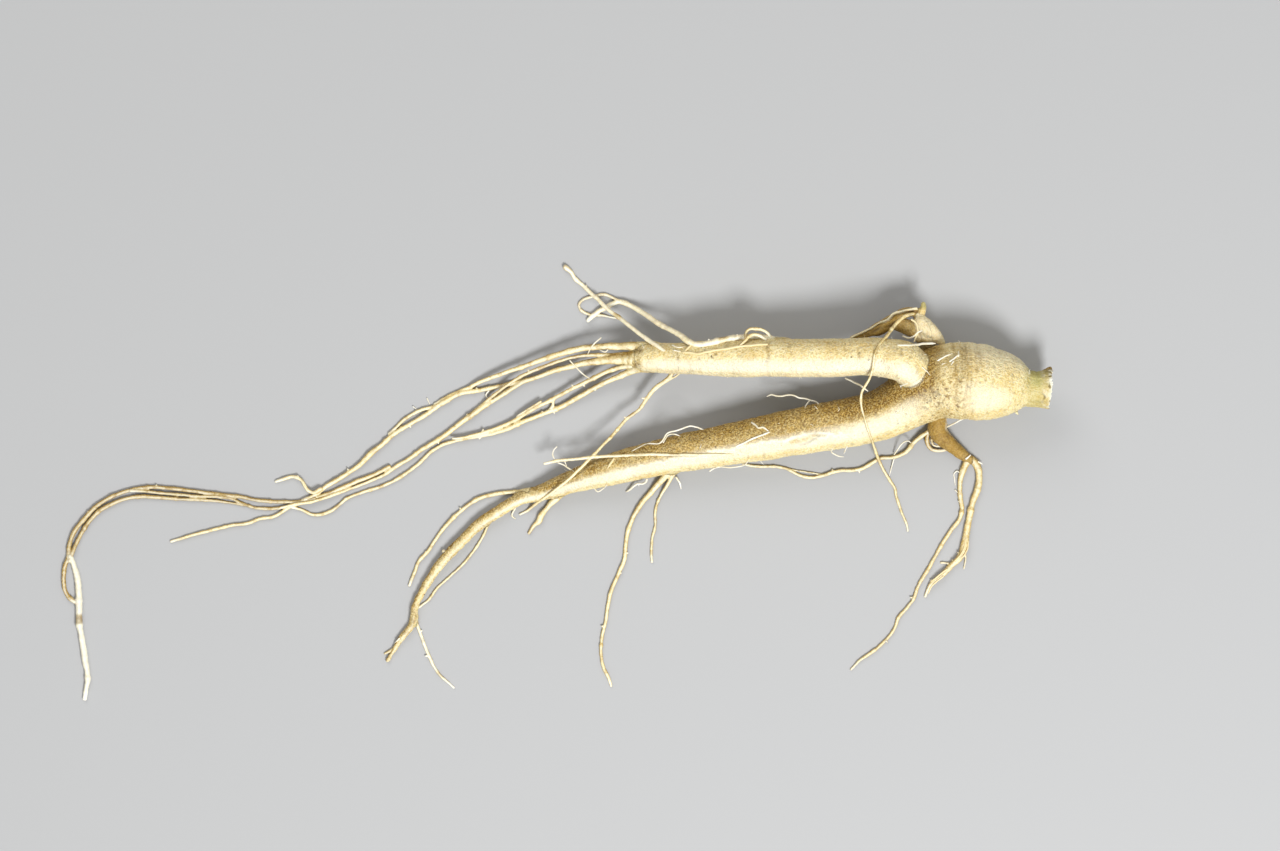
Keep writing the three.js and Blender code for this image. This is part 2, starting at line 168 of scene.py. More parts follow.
FAR_ROOTLETS = {
    "far_straight": [
        (26.7, 32.7, 0.56, 10), (25.6, 33.6, 0.55, 9.8), (23.2, 35.2, 0.54, 8.4), (20.75, 37, 0.53, 7),
        (18.25, 39, 0.53, 5.6), (15.75, 41, 0.52, 4.2), (13.75, 42.5, 0.52, 3.2), (12, 44, 0.51, 2.4),
        (10, 46, 0.5, 1.4), (8.25, 47.5, 0.5, 0.6), (6.25, 49.5, 0.5), (4.5, 51, 0.54), (3.5, 52.6, 0.62),
        (2.1, 53.8, 0.7),
    ],
    "far_wavy": [
        (57, 35, 0.8, 9.6), (54.25, 35.5, 0.8, 9.8), (50.25, 36.3, 0.75, 9.6), (47, 36.2, 0.75, 10.2),
        (42.25, 35.7, 0.75, 11), (39.75, 35.1, 0.75, 11.2), (37.5, 34.6, 0.75, 11.2),
        (35.75, 34.3, 0.75, 11), (34, 34.5, 0.78, 10.6), (32.75, 35.1, 0.75, 10),
        (31.25, 36.3, 0.72, 9), (29.5, 37.4, 0.7, 7.8), (25.75, 39.4, 0.7, 5.2), (22, 42, 0.68, 2.6),
        (18.75, 44, 0.65, 1), (16.75, 45, 0.65, 0.3), (15.25, 45.2, 0.65), (13.75, 44.6, 0.65),
        (12.25, 43.75, 0.65), (10.75, 43, 0.62), (8.75, 41.5, 0.58), (7.75, 40.5, 0.5),
    ],
    "outer_arch": [
        (47, 36, 0.4, 11.4), (47.1, 37.4, 0.4, 11.3), (47.8, 38.1, 0.38, 11.2), (49.5, 38.2, 0.38, 11),
        (51, 38, 0.38, 10.8), (52.4, 37.2, 0.38, 10.6), (53.2, 36, 0.36, 10.6),
    ],
    "inner_arch": [
        (45.2, 33.9, 0.32, 13.2), (46.8, 35.3, 0.4, 12.9), (47.7, 36.3, 0.4, 12.4), (49, 36.8, 0.4, 12),
        (50.5, 36.5, 0.4, 11.9), (51.8, 35.6, 0.36, 11.9),
    ],
    "far_loop": [
        (15.5, 45.4, 0.36, 0.6), (13.25, 46.5, 0.36, 0.1), (11.75, 47, 0.35), (9.25, 46.5, 0.35),
        (6.25, 45.5, 0.34), (5.5, 44.5, 0.34), (5.75, 43.5, 0.34), (8.25, 42, 0.34, 0.2),
        (11.25, 41.75, 0.3, 0.2), (14.75, 41.1, 0.22, 0.1),
    ],
}
LOWER_ROOTLETS = {
    "bridge": [
        (29.5, 28.5, 0.6, 4.6), (27.75, 26, 0.55, 4.4), (24.5, 23.6, 0.5, 3.8), (22.5, 21, 0.46, 3.6),
        (20.75, 18.5, 0.42, 3.6), (17.25, 15.75, 0.4, 3.9), (14.5, 12.5, 0.38, 4.6), (11.25, 9.1, 0.38, 5.6),
        (8.25, 6, 0.38, 6.2), (5.25, 3, 0.38, 6.2), (2.25, 0.25, 0.38, 5.6), (-0.5, -1.9, 0.38, 4.7),
        (-3.5, -4.1, 0.38, 2.8), (-5.5, -5.5, 0.38, 1), (-7.25, -7, 0.36), (-9.25, -8, 0.3),
    ],
    "bridge_edge": [(31.5, 28, 0.3, 5), (29.5, 26.4, 0.25, 4.9), (27, 25, 0.25, 4.6), (24.4, 23, 0.25, 4)],
    "lower_prong": [
        (1, -2, 1.2, 1), (-0.25, -4, 0.95, 0.2), (-1.5, -5.1, 0.75), (-3, -7, 0.6), (-4.1, -8.6, 0.75),
        (-4.4, -9.5, 0.7), (-5.6, -10.6, 0.5), (-7, -12.6, 0.4),
    ],
    "leg_strand": [
        (45, 7, 0.3, 8.8), (38, 7, 0.32, 9.3), (30.5, 7, 0.35, 8.9), (23, 7.1, 0.38, 8), (17.5, 6.8, 0.38, 7),
        (9, 6.4, 0.4, 6.2), (3.75, 5.8, 0.4, 5.8), (-0.5, 5.4, 0.4, 5.4), (-3, 4.75, 0.38, 5),
    ],
    "tail_outer": [
        (-7, -2.75, 1.1, 0.6), (-9, -2.4, 0.8, 0.2), (-10.4, -2.4, 0.6), (-12.75, -2.5, 0.52),
        (-16, -3, 0.52), (-20, -4.2, 0.5), (-23, -6.2, 0.48), (-26, -8.9, 0.46), (-28, -11, 0.45),
        (-30.2, -14, 0.42), (-32.2, -17.1, 0.46), (-34.7, -20, 0.4), (-35.5, -22.2, 0.4),
        (-36.9, -25.7, 0.36),
    ],
    "tail_inner": [
        (-16.25, -8.5, 0.5), (-17, -10, 0.38), (-18.4, -13.2, 0.32), (-19.5, -15.2, 0.32), (-21.5, -18, 0.32),
        (-24.5, -21.4, 0.3), (-28, -24.5, 0.3), (-30.2, -26.7, 0.3), (-32.2, -29.4, 0.3), (-34.4, -31.1, 0.3),
    ],
    "tail_spur": [
        (-35.6, -33.6, 0.45), (-34.9, -35.6, 0.42), (-33.6, -39.2, 0.4), (-32.2, -42.8, 0.42),
        (-31.7, -43.8, 0.42), (-30.8, -45.8, 0.34), (-29, -48.4, 0.34), (-27.6, -49.7, 0.32),
        (-25.8, -51.3, 0.28),
    ],
    "upper_prong": [(-39.25, -39.5, 0.5), (-41.5, -42, 0.38), (-43, -42.75, 0.28)],
    "tail_knob": [(-27, -18.25, 0.8, 0.6), (-28.3, -17.2, 0.5, 0.5)],
    "long_drop": [
        (30, 4.2, 1.1, 2.6), (27.5, 2, 0.9, 1.2), (26, 0.5, 0.8, 0.5), (24, -1.9, 0.7), (21.3, -5, 0.62),
        (19, -8.7, 0.55), (17.7, -12.3, 0.5), (17.1, -16.5, 0.48), (16.9, -19.1, 0.48), (15.6, -22.3, 0.46),
        (13.2, -28.3, 0.46), (12.3, -33.8, 0.44), (11.1, -40, 0.42), (11, -42.7, 0.42), (11.7, -46.4, 0.42),
        (12.7, -48.4, 0.42), (13.5, -50.8, 0.38),
    ],
    "short_drop": [
        (30.3, 4, 0.7, 2.4), (28.4, 1, 0.5, 1.4), (27.1, -1.4, 0.4, 0.5), (25.5, -4, 0.36, 0.1),
        (24.6, -7.2, 0.34), (24.5, -11.3, 0.34), (23.8, -13.9, 0.32), (23.6, -16.5, 0.32), (23.7, -19.8, 0.3),
    ],
}
BUNDLE_ROOTLETS = {
    "bundle_top": [
        (24, 33.2, 1.5, 5.6), (20.5, 33.8, 1.25, 5.7), (18.75, 34, 1.1, 5.6), (15.75, 34, 0.94, 5.1),
        (10.75, 33.9, 0.8, 4.2), (5.75, 33.4, 0.76, 3.2), (0.75, 32.1, 0.7, 2.6),
        (-4.25, 30.5, 0.64, 2.2), (-9.25, 28.7, 0.58, 1.8), (-14.25, 27, 0.53, 1.4),
        (-19.25, 25.1, 0.48, 0.6), (-21.75, 23.9, 0.44, 0.2), (-24.25, 22.9, 0.42), (-27.5, 21.4, 0.4),
        (-30.5, 19.6, 0.36),
    ],
    "bundle_upper": [
        (20.5, 32, 0.95, 5.6), (17, 31.9, 0.7, 5.2), (13.5, 31.8, 0.5, 4.4), (10.75, 31.9, 0.46, 3.9),
        (5.75, 31.6, 0.42, 3.1),
        (0.75, 30.4, 0.4, 2.6),
        (-4.25, 28.6, 0.4, 2.2), (-9, 26.5, 0.42, 1.9), (-12.75, 24.1, 0.4, 1.7), (-14.25, 23, 0.38, 1.4),
        (-16.75, 21.1, 0.38, 0.9), (-18.5, 19.6, 0.36, 0.4), (-20.75, 17.8, 0.34),
    ],
    "bundle_long": [
        (24, 30.9, 2, 4.8), (20, 30.9, 1.9, 4.9), (18, 30.9, 1.65, 4.7), (15.75, 30.85, 1.35, 4.2),
        (13.25, 30.8, 1.2, 3.6), (10.75, 30.4, 0.95, 2.9), (8.25, 30.1, 0.78, 2.3),
        (3.25, 29, 0.68, 1.4), (-1.75, 27.6, 0.62, 0.8),
        (-6.75, 25.8, 0.58, 0.3),
        (-11.75, 24.6, 0.56), (-19.25, 23.1, 0.56), (-24.25, 22.2, 0.58), (-26.75, 21, 0.62),
        (-29.25, 19.5, 0.62), (-31.75, 17.7, 0.58),
        (-36.75, 14.6, 0.55), (-41, 12, 0.6), (-44.25, 9.1, 0.6), (-46.25, 7.5, 0.7), (-49.25, 4.5, 0.6),
        (-53, 1.9, 0.6), (-57.75, -1, 0.56), (-61.25, -3.5, 0.52), (-63.5, -4.6, 0.5),
    ],
    "bundle_twin": [
        (-27, 20.4, 0.4, 0.3), (-30, 19.2, 0.42, 0.1), (-34.25, 18, 0.42), (-35.75, 17.3, 0.42),
        (-38, 15.9, 0.4), (-40.5, 13.6, 0.38), (-42, 12.2, 0.36, 0.1),
    ],
    "bundle_middle": [
        (-8, 25.5, 0.5, 0.3), (-11.75, 23.2, 0.6, 0.2), (-14.25, 21.6, 0.62), (-16.75, 20.1, 0.66),
        (-19.25, 18.4, 0.7), (-24.25, 14.8, 0.66), (-29.25, 11, 0.6), (-34.25, 8, 0.55),
        (-36.75, 6.1, 0.52), (-39.25, 4.6, 0.5), (-41.25, 3.3, 0.46), (-43.25, 1.9, 0.4),
        (-46.75, 0.4, 0.38), (-51.75, -1.6, 0.38), (-56.75, -3.4, 0.38, 0.5),
        (-61.75, -4.9, 0.36, 0.8), (-66.25, -5.6, 0.36, 0.5), (-69.75, -6.5, 0.36),
    ],
    "bundle_cut": [
        (-41.9, 4, 0.5, 0.1), (-44.25, 2.7, 0.52), (-49.25, 0.6, 0.5), (-54.25, -1.5, 0.5),
        (-59.25, -3.5, 0.48), (-63.5, -4.5, 0.48),
    ],
    "bundle_short": [
        (23.5, 29.8, 1.1, 4.2), (17.75, 29.2, 0.7, 3.6), (13.25, 28, 0.58, 3), (8.25, 25.6, 0.52, 2.2),
        (3.25, 23.2, 0.46, 1.4), (-1.75, 20.5, 0.48, 1), (-6.75, 17.9, 0.5, 0.8), (-9.25, 16.3, 0.48, 0.6),
        (-14.25, 13.9, 0.44, 0.4), (-19.25, 12.3, 0.42, 0.5), (-24.25, 11.1, 0.36, 0.9), (-26, 11, 0.3, 1),
    ],
    "short_side": [(-4, 20.3, 0.25, 1.3), (-6.5, 18.8, 0.22, 1.3), (-10, 16.6, 0.2, 1)],
    "bundle_link": [
        (-0.25, 21.5, 0.4, 1.2), (-0.9, 20.4, 0.4, 1), (-1, 19.4, 0.42, 0.5), (-1.9, 17.9, 0.44, 0.1),
    ],
    "bundle_bottom": [
        (24, 29, 1.2, 3.8), (20, 28.3, 0.95, 3.2), (15.75, 26.6, 0.72, 2.2), (10.75, 24.4, 0.66, 1.2),
        (5.75, 21.6, 0.64, 0.5), (0.75, 18.8, 0.62), (-4.25, 16.9, 0.6), (-9.25, 14.9, 0.6),
        (-13, 13.2, 0.56), (-14.5, 12.7, 0.54), (-19.25, 11.7, 0.5), (-25.5, 10.4, 0.46),
        (-28.75, 9.4, 0.42), (-32.25, 7, 0.42), (-34.25, 5, 0.42), (-38.25, 2, 0.45),
        (-40.5, 0.6, 0.42), (-43, -0.6, 0.4), (-48.75, -2.5, 0.38), (-52.5, -4, 0.38),
        (-54.5, -5.6, 0.4), (-55.75, -6.6, 0.4), (-61.25, -8, 0.38), (-63.75, -6.8, 0.36),
        (-66.5, -6, 0.36, 0.2),
    ],
    "bundle_hook": [
        (-59, -1.6, 0.5, 0.6), (-61, -2.5, 0.46, 0.9), (-62.1, -2, 0.45, 1), (-62.9, -0.9, 0.44, 0.9),
        (-63.75, 0.5, 0.44, 0.6), (-65, 1.3, 0.44, 0.3), (-66.25, 1.5, 0.44), (-67.75, 1.1, 0.44),
        (-69, 0.6, 0.42), (-70.25, 0.25, 0.34),
    ],
}
FAR_END_ROOTLETS = {
    "far_end_long": [
        (-60.5, -4, 0.5, 0.3), (-64.25, -4.7, 0.46), (-69.25, -4.8, 0.46), (-74.25, -4.5, 0.46),
        (-79.25, -3.5, 0.48), (-84.75, -3, 0.5), (-91.75, -2, 0.5), (-96.75, -1.4, 0.48),
        (-101.75, -1.2, 0.48), (-106.75, -1.9, 0.48), (-111.25, -3.5, 0.5), (-114.75, -5.6, 0.52),
        (-118, -9, 0.55), (-120.5, -12.1, 0.58), (-121.9, -15.9, 0.58), (-122, -19.5, 0.56),
    ],
    "far_end_middle": [
        (-66, -5.6, 0.36, 0.2), (-69.75, -6.4, 0.38), (-76.25, -6.1, 0.38), (-79, -5.1, 0.36),
        (-81.5, -4, 0.36, 0.2), (-84.25, -3.6, 0.36, 0.5), (-89.25, -3.4, 0.36, 0.4), (-94.25, -3, 0.36, 0.3),
        (-99.25, -2.6, 0.36, 0.3), (-104.25, -2.1, 0.34, 0.4), (-106.5, -2.1, 0.3, 0.5),
    ],
    "far_end_twin": [
        (-78, -5.7, 0.3, 0.1), (-82.25, -5, 0.3), (-86.75, -4.4, 0.42), (-94.25, -4.1, 0.46),
        (-99.25, -3.7, 0.48), (-105.5, -3.6, 0.5), (-110.5, -5, 0.5), (-114.75, -7.4, 0.5),
        (-117.5, -10.5, 0.5), (-119.75, -14.5, 0.5), (-121, -17.5, 0.5, 0.3),
        (-121.6, -19.5, 0.5, 0.4),
    ],
    "far_end_spur": [
        (-64.5, -5.4, 0.4, 0.2), (-66.5, -6, 0.42, 0.1), (-69.75, -8, 0.42), (-71, -8.6, 0.42),
        (-74.25, -9, 0.42), (-76.75, -10, 0.42), (-81.75, -10.75, 0.4), (-86.75, -12, 0.4),
        (-91.75, -13.25, 0.38), (-96.5, -14.75, 0.32),
    ],
    "far_end_loop": [
        (-122.2, -18.9, 0.55), (-123, -21, 0.56), (-123.25, -23, 0.56), (-123.25, -25, 0.56),
        (-122.9, -27, 0.56), (-121.6, -29, 0.58), (-119.75, -30.25, 0.5, 0.3),
    ],
    "far_end_drop": [
        (-121.5, -18.5, 0.6, 0.2), (-120.6, -21, 0.7), (-119.9, -23.5, 0.76), (-119.5, -27.5, 0.8),
        (-119.4, -32.4, 0.8), (-119.4, -35, 0.78), (-118.5, -40, 0.8), (-117.9, -44.5, 0.76),
        (-117.4, -47, 0.72), (-117.25, -49.5, 0.7), (-117.5, -50.75, 0.6), (-118, -54, 0.5),
    ],
}

# Rootlets that grow out of the thick roots, whose skin rises round the start of each: the group,
# how long that start is, and the rootlets.
LOWER_COLLARS = ["bridge", "lower_prong", "tail_outer", "tail_inner", "tail_spur", "long_drop", "short_drop"]
BUNDLE_COLLARS = ["bundle_top", "bundle_long", "bundle_short", "bundle_bottom"]
COLLARED = [
    (FAR_ROOTLETS, 3, ["far_wavy"]),
    (LOWER_ROOTLETS, 3, LOWER_COLLARS),
    (BUNDLE_ROOTLETS, 8, BUNDLE_COLLARS),
]

# How brown, how white, how grey and how brown at its tip a rootlet is, where it isn't cream.
BROWNER = {
    "far_end_loop": 0.75, "bundle_cut": 0.35, "bundle_upper": 0.2, "far_end_long": 0.45,
    "far_end_twin": 0.45, "far_end_middle": 0.35, "far_loop": 0.2,
}
WHITER = {
    "far_end_drop": 0.85, "tail_spur": 0.5, "bundle_hook": 0.15, "leg_strand": 0.2,
    "far_loop": 0.3, "far_wavy": 0.5, "far_straight": 0.55,
}
GREYER = {
    "far_end_drop": 0.6, "far_end_long": 0.25, "far_end_twin": 0.25, "far_end_middle": 0.25,
    "bundle_upper": 0.1,
}
BROWN_TIPS = {"far_straight": 0.5, "lower_prong": 0.4, "upper_prong": 0.4}

# Short twigs that stand off the rootlets: where, and how far they reach in x and y.
TWIGS = {
    "bridge": [(22.5, 21, -1.2, 0.1), (17.5, 16, -0.7, 0.3)],
    "lower_prong": [(-3, -7, -0.5, 0.2)],
    "tail_outer": [(-32.2, -17.1, -0.6, -0.2), (-24, -7, -0.4, 0.6)],
    "tail_spur": [(-31.9, -43.5, -0.9, 0), (-34.3, -37.2, 0.6, 0.2)],
    "long_drop": [(17, -17.5, 0.7, -0.1), (11.6, -36, -0.7, 0), (15.5, -22.6, 0.6, -0.2)],
    "bundle_upper": [(-7, 27.5, -0.4, 0.6)],
    "bundle_long": [(-52, 2.5, -0.4, 0.8), (-37, 14.5, 0.3, -0.7), (-20, 22.9, -0.3, 0.7)],
    "bundle_middle": [(-30, 10.5, 0.4, -0.7), (-22, 16.4, -0.4, 0.7)],
    "bundle_short": [(6.5, 24.7, 0.4, -0.8), (-18.8, 12.4, 0.4, 0.9), (4.3, 23.7, -0.5, 0.6)],
    "bundle_bottom": [
        (9.8, 23.8, -0.3, -0.9), (-1, 18.1, 0.2, -0.9), (-3.2, 17.4, -0.6, 0.4), (-18.6, 11.7, -0.8, -0.9),
        (-37.4, 2.5, -0.7, -0.4),
    ],
    "bundle_hook": [(-64.5, 1, -0.2, 0.6)],
    "left_branch": [(89.3, -28.8, -0.9, 0.2), (100.8, -5, -0.7, 0.1), (82, -39.3, 0.6, -0.4)],
    "right_branch": [
        (105.4, 0.5, 0.6, 0), (103.6, -6.4, -0.6, 0), (102.4, -12, 0.7, -0.1), (102.6, -13.2, 0.9, 0.5),
        (101, -18, -0.9, 0.6), (99.6, -19.8, -0.8, 0.5), (94, -25, 0.6, -0.3), (94.4, -24.6, -0.9, 0.3),
    ],
    "base_runner": [(75.5, 3.2, 0, -0.8), (69, 2.8, -0.2, 0.6)],
    "far_wavy": [(44.5, 36, 0.2, 0.7), (38, 34.8, -0.3, 0.9)],
    "far_straight": [(7, 48.8, 0.5, 0.4)],
    "far_end_long": [(-100, -1.2, 0, 0.6), (-116.5, -7.4, -0.6, 0.2)],
}

# ---------------------------------------------------------------- hairs: radius, then
# (x, y) lying on the skin or (x, y, z) hanging clear of it

HAIRS = [
    (0.18, [(65.1, 19.6, 6.4), (64.4, 20.2, 6.4), (63.6, 20.4, 6.3), (61.9, 20.9, 6), (60.2, 21.2, 5.8),
            (59.2, 21.7, 5.8), (57.2, 21.8, 5.6), (55.9, 21.5, 5.5), (54.6, 21.7, 5.4), (53.5, 22, 5.2),
            (52.4, 21.5, 5)]),
    (0.14, [(63, 20.4, 6.2), (62.4, 19.8, 6.8), (61.7, 18.6, 7.6)]),
    (0.2, [(71.75, 26, 9), (73.75, 25, 10.5), (75.5, 24, 13), (77.25, 22.75, 12.6)]),
    (0.26, [(84.4, 34), (88, 34.1, 16.4), (91.2, 34.5, 14), (94, 34.6, 12)]),
    (0.18, [(85.9, 36.4, 12), (87.3, 35.9, 12.6), (88.6, 36.4, 13), (89.6, 37.3, 13.1), (90.7, 37.7, 12.8)]),
    (0.2, [(85.2, 24), (86.2, 24.4), (87.2, 24.9, 13.6), (88, 25.6)]),
    (0.15, [(94.25, 30.25), (96, 31.25), (98, 32.1)]), (0.17, [(97.2, 30), (98.6, 31), (99.5, 31.7)]),
    (0.24, [(99.4, 31.4), (99.5, 32.6)]), (0.14, [(95.4, 29.4), (96.1, 29.65)]),
    (0.2, [(98.1, 30.05), (97.8, 29.6), (97.7, 29.2)]),
    (0.2, [(101, 15.9, 7), (98.5, 14.5, 4.4), (96.9, 13.6, 3.2)]),
    (0.24, [(97, 15, 3.2), (97.6, 14.5, 3)]),
    (0.15, [(68.5, 8.5), (69, 7.25, 3.4), (70.25, 6.6, 3), (71.6, 6.4, 3)]),
    (0.15, [(72.25, 8.6), (71.6, 7.2, 3.6)]),
    (0.14, [(84.25, 7, 0.8), (85, 8.1, 1.6), (85.75, 9.2, 2.4), (86.6, 10.1, 2.8), (87.6, 10.4, 2.2),
            (88.5, 9.9, 1.4)]),
    (0.12, [(84.2, 6, 0.9), (83.75, 4.5, 0.5), (83.4, 3, 0.2), (83, 1.6, 0.2)]),
    (0.16, [(36.5, 13.2), (33.25, 14.1, 8.2), (30.25, 13.1, 8.4), (27.75, 12.4, 8), (25.75, 11.1),
            (22.5, 9.6), (18.7, 7.9)]),
    (0.13, [(26.25, 11.1), (27.75, 11.8, 6.6), (29.75, 12, 7.4), (30.75, 11.6)]),
    (0.22, [(48.5, 15), (49.4, 14.4), (50.25, 13.6), (51.25, 13.8), (52, 13.4), (52.6, 12.9)]),
    (0.2, [(44.6, 9), (46.75, 10), (48.75, 11), (50.75, 11.75), (52.9, 12.6)]),
    (0.24, [(29.75, 1.4, 2.2), (30.6, 0, 1), (31, -1.6, 0.35)]),
    (0.24, [(22.5, 0.8, 2.6), (22.2, 0.2, 2), (21.4, -0.3, 1.6), (20, -0.4, 1.4), (19.2, -0.9, 1.1),
            (18.2, -1.8, 0.7), (17.2, -2.3, 0.3)]),
    (0.16, [(20.4, -0.4, 1.5), (20.5, -0.9, 1.1)]),
    (0.15, [(38.1, 2.9, 3.4), (40, 3.9, 3.6), (43.5, 3.8, 3.6), (46.3, 4.2, 4), (48, 5)]),
    (0.16, [(0, 9, 4.4), (-0.75, 8, 5), (-1, 7, 5.4), (-0.5, 5.6, 5.6)]),
    (0.17, [(0.3, 5, 5.4), (1.75, 4.4, 5), (2.75, 3.75, 5), (4.25, 2.9)]),
    (0.13, [(2, 5.4, 5.6), (2.5, 4.2, 5)]),
    (0.15, [(12.5, -0.5), (11.5, -1.5, 1.5), (10.75, -2.1, 1.2), (9.25, -1.4)]),
    (0.2, [(-10.4, -6.4, 1), (-11, -7.4, 0.5), (-11.25, -8.4, 0.3), (-10.3, -9.1, 0.2)]),
    (0.15, [(11, 36.1, 5), (9.3, 34.6, 5.6), (8.25, 33.1, 4.6), (7.75, 32, 4)]),
    (0.13, [(12.75, 33.1, 6), (12.25, 32.6, 6.2), (10.75, 33, 6)]),
    (0.14, [(3.25, 30.4, 3.6), (5, 28.6, 3), (6.5, 27.1, 2.6), (8.75, 25.6, 3)]),
    (0.13, [(-17, 22.9, 0.8), (-17.75, 21.9, 0.5), (-17, 20.6, 0.4)]),
    (0.12, [(100.75, 2.1, 0.8), (100, 2.9, 0.4), (99.2, 2.1, 0.2), (99.4, 0.6, 0.2), (99.5, -0.7, 0.2)]),
    (0.14, [(99.5, -1.9, 0.3), (100.2, -2.6, 0.6)]),
    (0.14, [(-36, 19, 0.3), (-35.2, 18.3, 0.6)]),
    (0.13, [(-32.5, 21.1, 0.2), (-31.8, 19.6, 0.3)]),
    (0.2, [(94.5, 11.1, 2.6), (95.3, 9.9, 2.2), (96.3, 9.6, 1.8)]),
    (0.2, [(95.2, 11.2, 3), (95.9, 10.3, 2.6), (97, 9.9, 2)]),
    (0.22, [(102.1, 5.9, 2.6), (103.3, 6.9, 2.6)]),
    (0.2, [(105.2, 5.2, 1.4), (106.3, 4.6, 1)]),
    (0.16, [(-39.3, -38.9, 1), (-40.6, -40.2, 0.5)]),
    (0.12, [(28.7, 34.2), (30.5, 33.6), (32, 33.9)]),
    (0.12, [(29.2, 32.9), (30.8, 32.6)]),
    (0.13, [(90.4, 28.6), (91.6, 27.6), (92.4, 26.6)]),
]
# Thicker strands, which are the skin's own cream.
STRANDS = [
    (0.26, [(52.25, 34.3), (48.5, 34.1), (45.25, 33.8), (43, 33.4), (39.75, 32.9), (37, 32.4), (35, 32),
            (33.25, 32.25), (31, 32.4)]),
    (0.22, [(33.3, 34), (32.2, 33), (31.3, 32)]),
    (0.24, [(14.3, 6), (13.3, 4.6), (12.6, 3.5)]),
    (0.22, [(88, 40.5, 12.6), (88.9, 39.9, 12.6), (89.5, 38.4, 12.8), (89.6, 37.4, 12.9), (89.1, 36.1, 13),
           (88.6, 34.9, 13.2)]),
    (0.16, [(102.2, -14, 1.6), (101.8, -16, 1.7), (100.6, -18.4, 1.7), (99, -19.9, 1.3)]),
    (0.14, [(102.8, -14.6, 1), (102.6, -16.4, 1.3), (101.6, -18.3, 1.6), (100.2, -19.4, 1.3)]),
    (0.16, [(97.6, -21.6, 1.3), (95.9, -22.8, 1.3), (94.2, -24.2, 1.1), (93.2, -24.9, 0.6)]),
    (0.14, [(96.6, -23.4, 1.3), (95, -24.6, 1.2), (93.6, -26, 1), (92.8, -27.8, 0.7)]),
]
HAIR_SWELL = 0.03
FUZZ = 150
FUZZ_SEED = 5
FUZZ_RADIUS = 0.085

# ---------------------------------------------------------------- marks on the upper side, at (x, y)

# Scars that run part of the way round, and painted shade in three gaps: width, depth and line.
SCARS_AND_SHADED_GAPS = [
    (0.2, 0.12, [(98.2, 34.6), (98.5, 30.4), (98.4, 26)]),
    (0.2, 0.12, [(98.8, 28.6), (98.9, 25), (98.5, 19.5)]),
    (0.18, 0.1, [(100, 34.4), (100.2, 29), (99.9, 23.5)]),
    (0.2, 0.1, [(100.7, 33.6), (100.9, 30.4), (100.7, 26)]),
    (0.22, 0.14, [(101.3, 34.2), (101.6, 30.4), (101.4, 24.5), (101, 21)]),
    (0.18, 0.1, [(102.3, 34), (102.5, 28), (102.1, 22)]),
    (0.18, 0.08, [(103.5, 33.4), (103.8, 29), (103.5, 24.5)]),
    (0.25, 0.08, [(104.7, 32.4), (105, 28.6)]),
    (0.25, 0.08, [(96.4, 32.6), (96.6, 29.5)]),
    # Painted shade in the crevice between the knee, the side root and the crown.
    (0.5, 0.16, [(91.3, 33.5), (93, 33.1), (95, 33.2)]),
    (0.28, 0.16, [(52.2, 34.4), (52.5, 31.5), (52.3, 28)]),
    (0.26, 0.13, [(43.9, 30.4), (43.6, 28.4), (44, 26.6)]),
    (0.26, 0.12, [(29.8, 33), (30.2, 30), (29.8, 27.8)]),
    (0.24, 0.12, [(74.6, 32.8), (74.8, 31)]),
    (0.26, 0.12, [(85, 33.6), (85.2, 31.9)]),
    (0.24, 0.08, [(59, 31), (58.9, 29.2)]),
    (0.24, 0.08, [(78.4, 32.8), (78.6, 30.8)]),
    # Painted shade in the gaps between the strands at the upper leg's end.
    (0.4, 0.2, [(20.5, 33), (18.4, 32.8)]),
    (0.4, 0.2, [(20.3, 29.5), (18.4, 29.1)]),
]
# Dark pits: radius and places.
DARK_DOTS = [
    (0.3, [(39.3, 32), (38.7, 31), (51.9, 30.1), (63.6, 29.9), (74.9, 32.2), (91, 22.9)]),
    (0.3, [(93.6, 22.5), (94.8, 21.8), (96, 21.6), (92.4, 20.1), (94.3, 19.8), (95.3, 19.8)]),
    (0.26, [(91.9, 18.2), (93.2, 16.6), (98.2, 21), (101.7, 23.8), (102.9, 19.6), (96.6, 19.3),
            (99.3, 18.8)]),
    (0.28, [(79, 17.4), (74.9, 16.3), (84.1, 17.6), (70.2, 15.6), (66.8, 17.6), (72.4, 19.2), (76.2, 15.2)]),
    (0.3, [(-35.9, -34.8), (-36.4, -35.8)]),
    (0.22, [(106.5, 30.2), (108.4, 28.6), (99.4, 27.6), (104.6, 24.8), (96.8, 25.6), (93.4, 27.4)]),
]
# A leaf of lifting skin on the lower leg: its upper edge, its middle and the groove below it, painted dark as
# its shadow.
FLAKE_EDGE = [(56.6, 10.2), (58.6, 11.2), (61.6, 12), (64.9, 12.4), (67.6, 12.4)]
FLAKE_MIDDLE = [(58.4, 10.2), (61.3, 10.9), (64.4, 11.8)]
FLAKE_GROOVE_SHADOW = [(60.6, 9.4), (62, 9.7), (63.7, 10.6), (65.3, 11.7)]

# ---------------------------------------------------------------- lines and noise


def station(x, y, radius, lift=0):
    """A route's middle at a station: its radius above what is under it, a little pressed."""
    return x, y, lift + radius - min(PRESSED, PRESSED_SHARE * radius), radius


def travel_of(path):
    """How far along a path each of its rows is."""
    gaps = np.linalg.norm(np.diff(path[:, :3], axis=0), axis=1)
    return np.concatenate([[0], np.cumsum(gaps)])


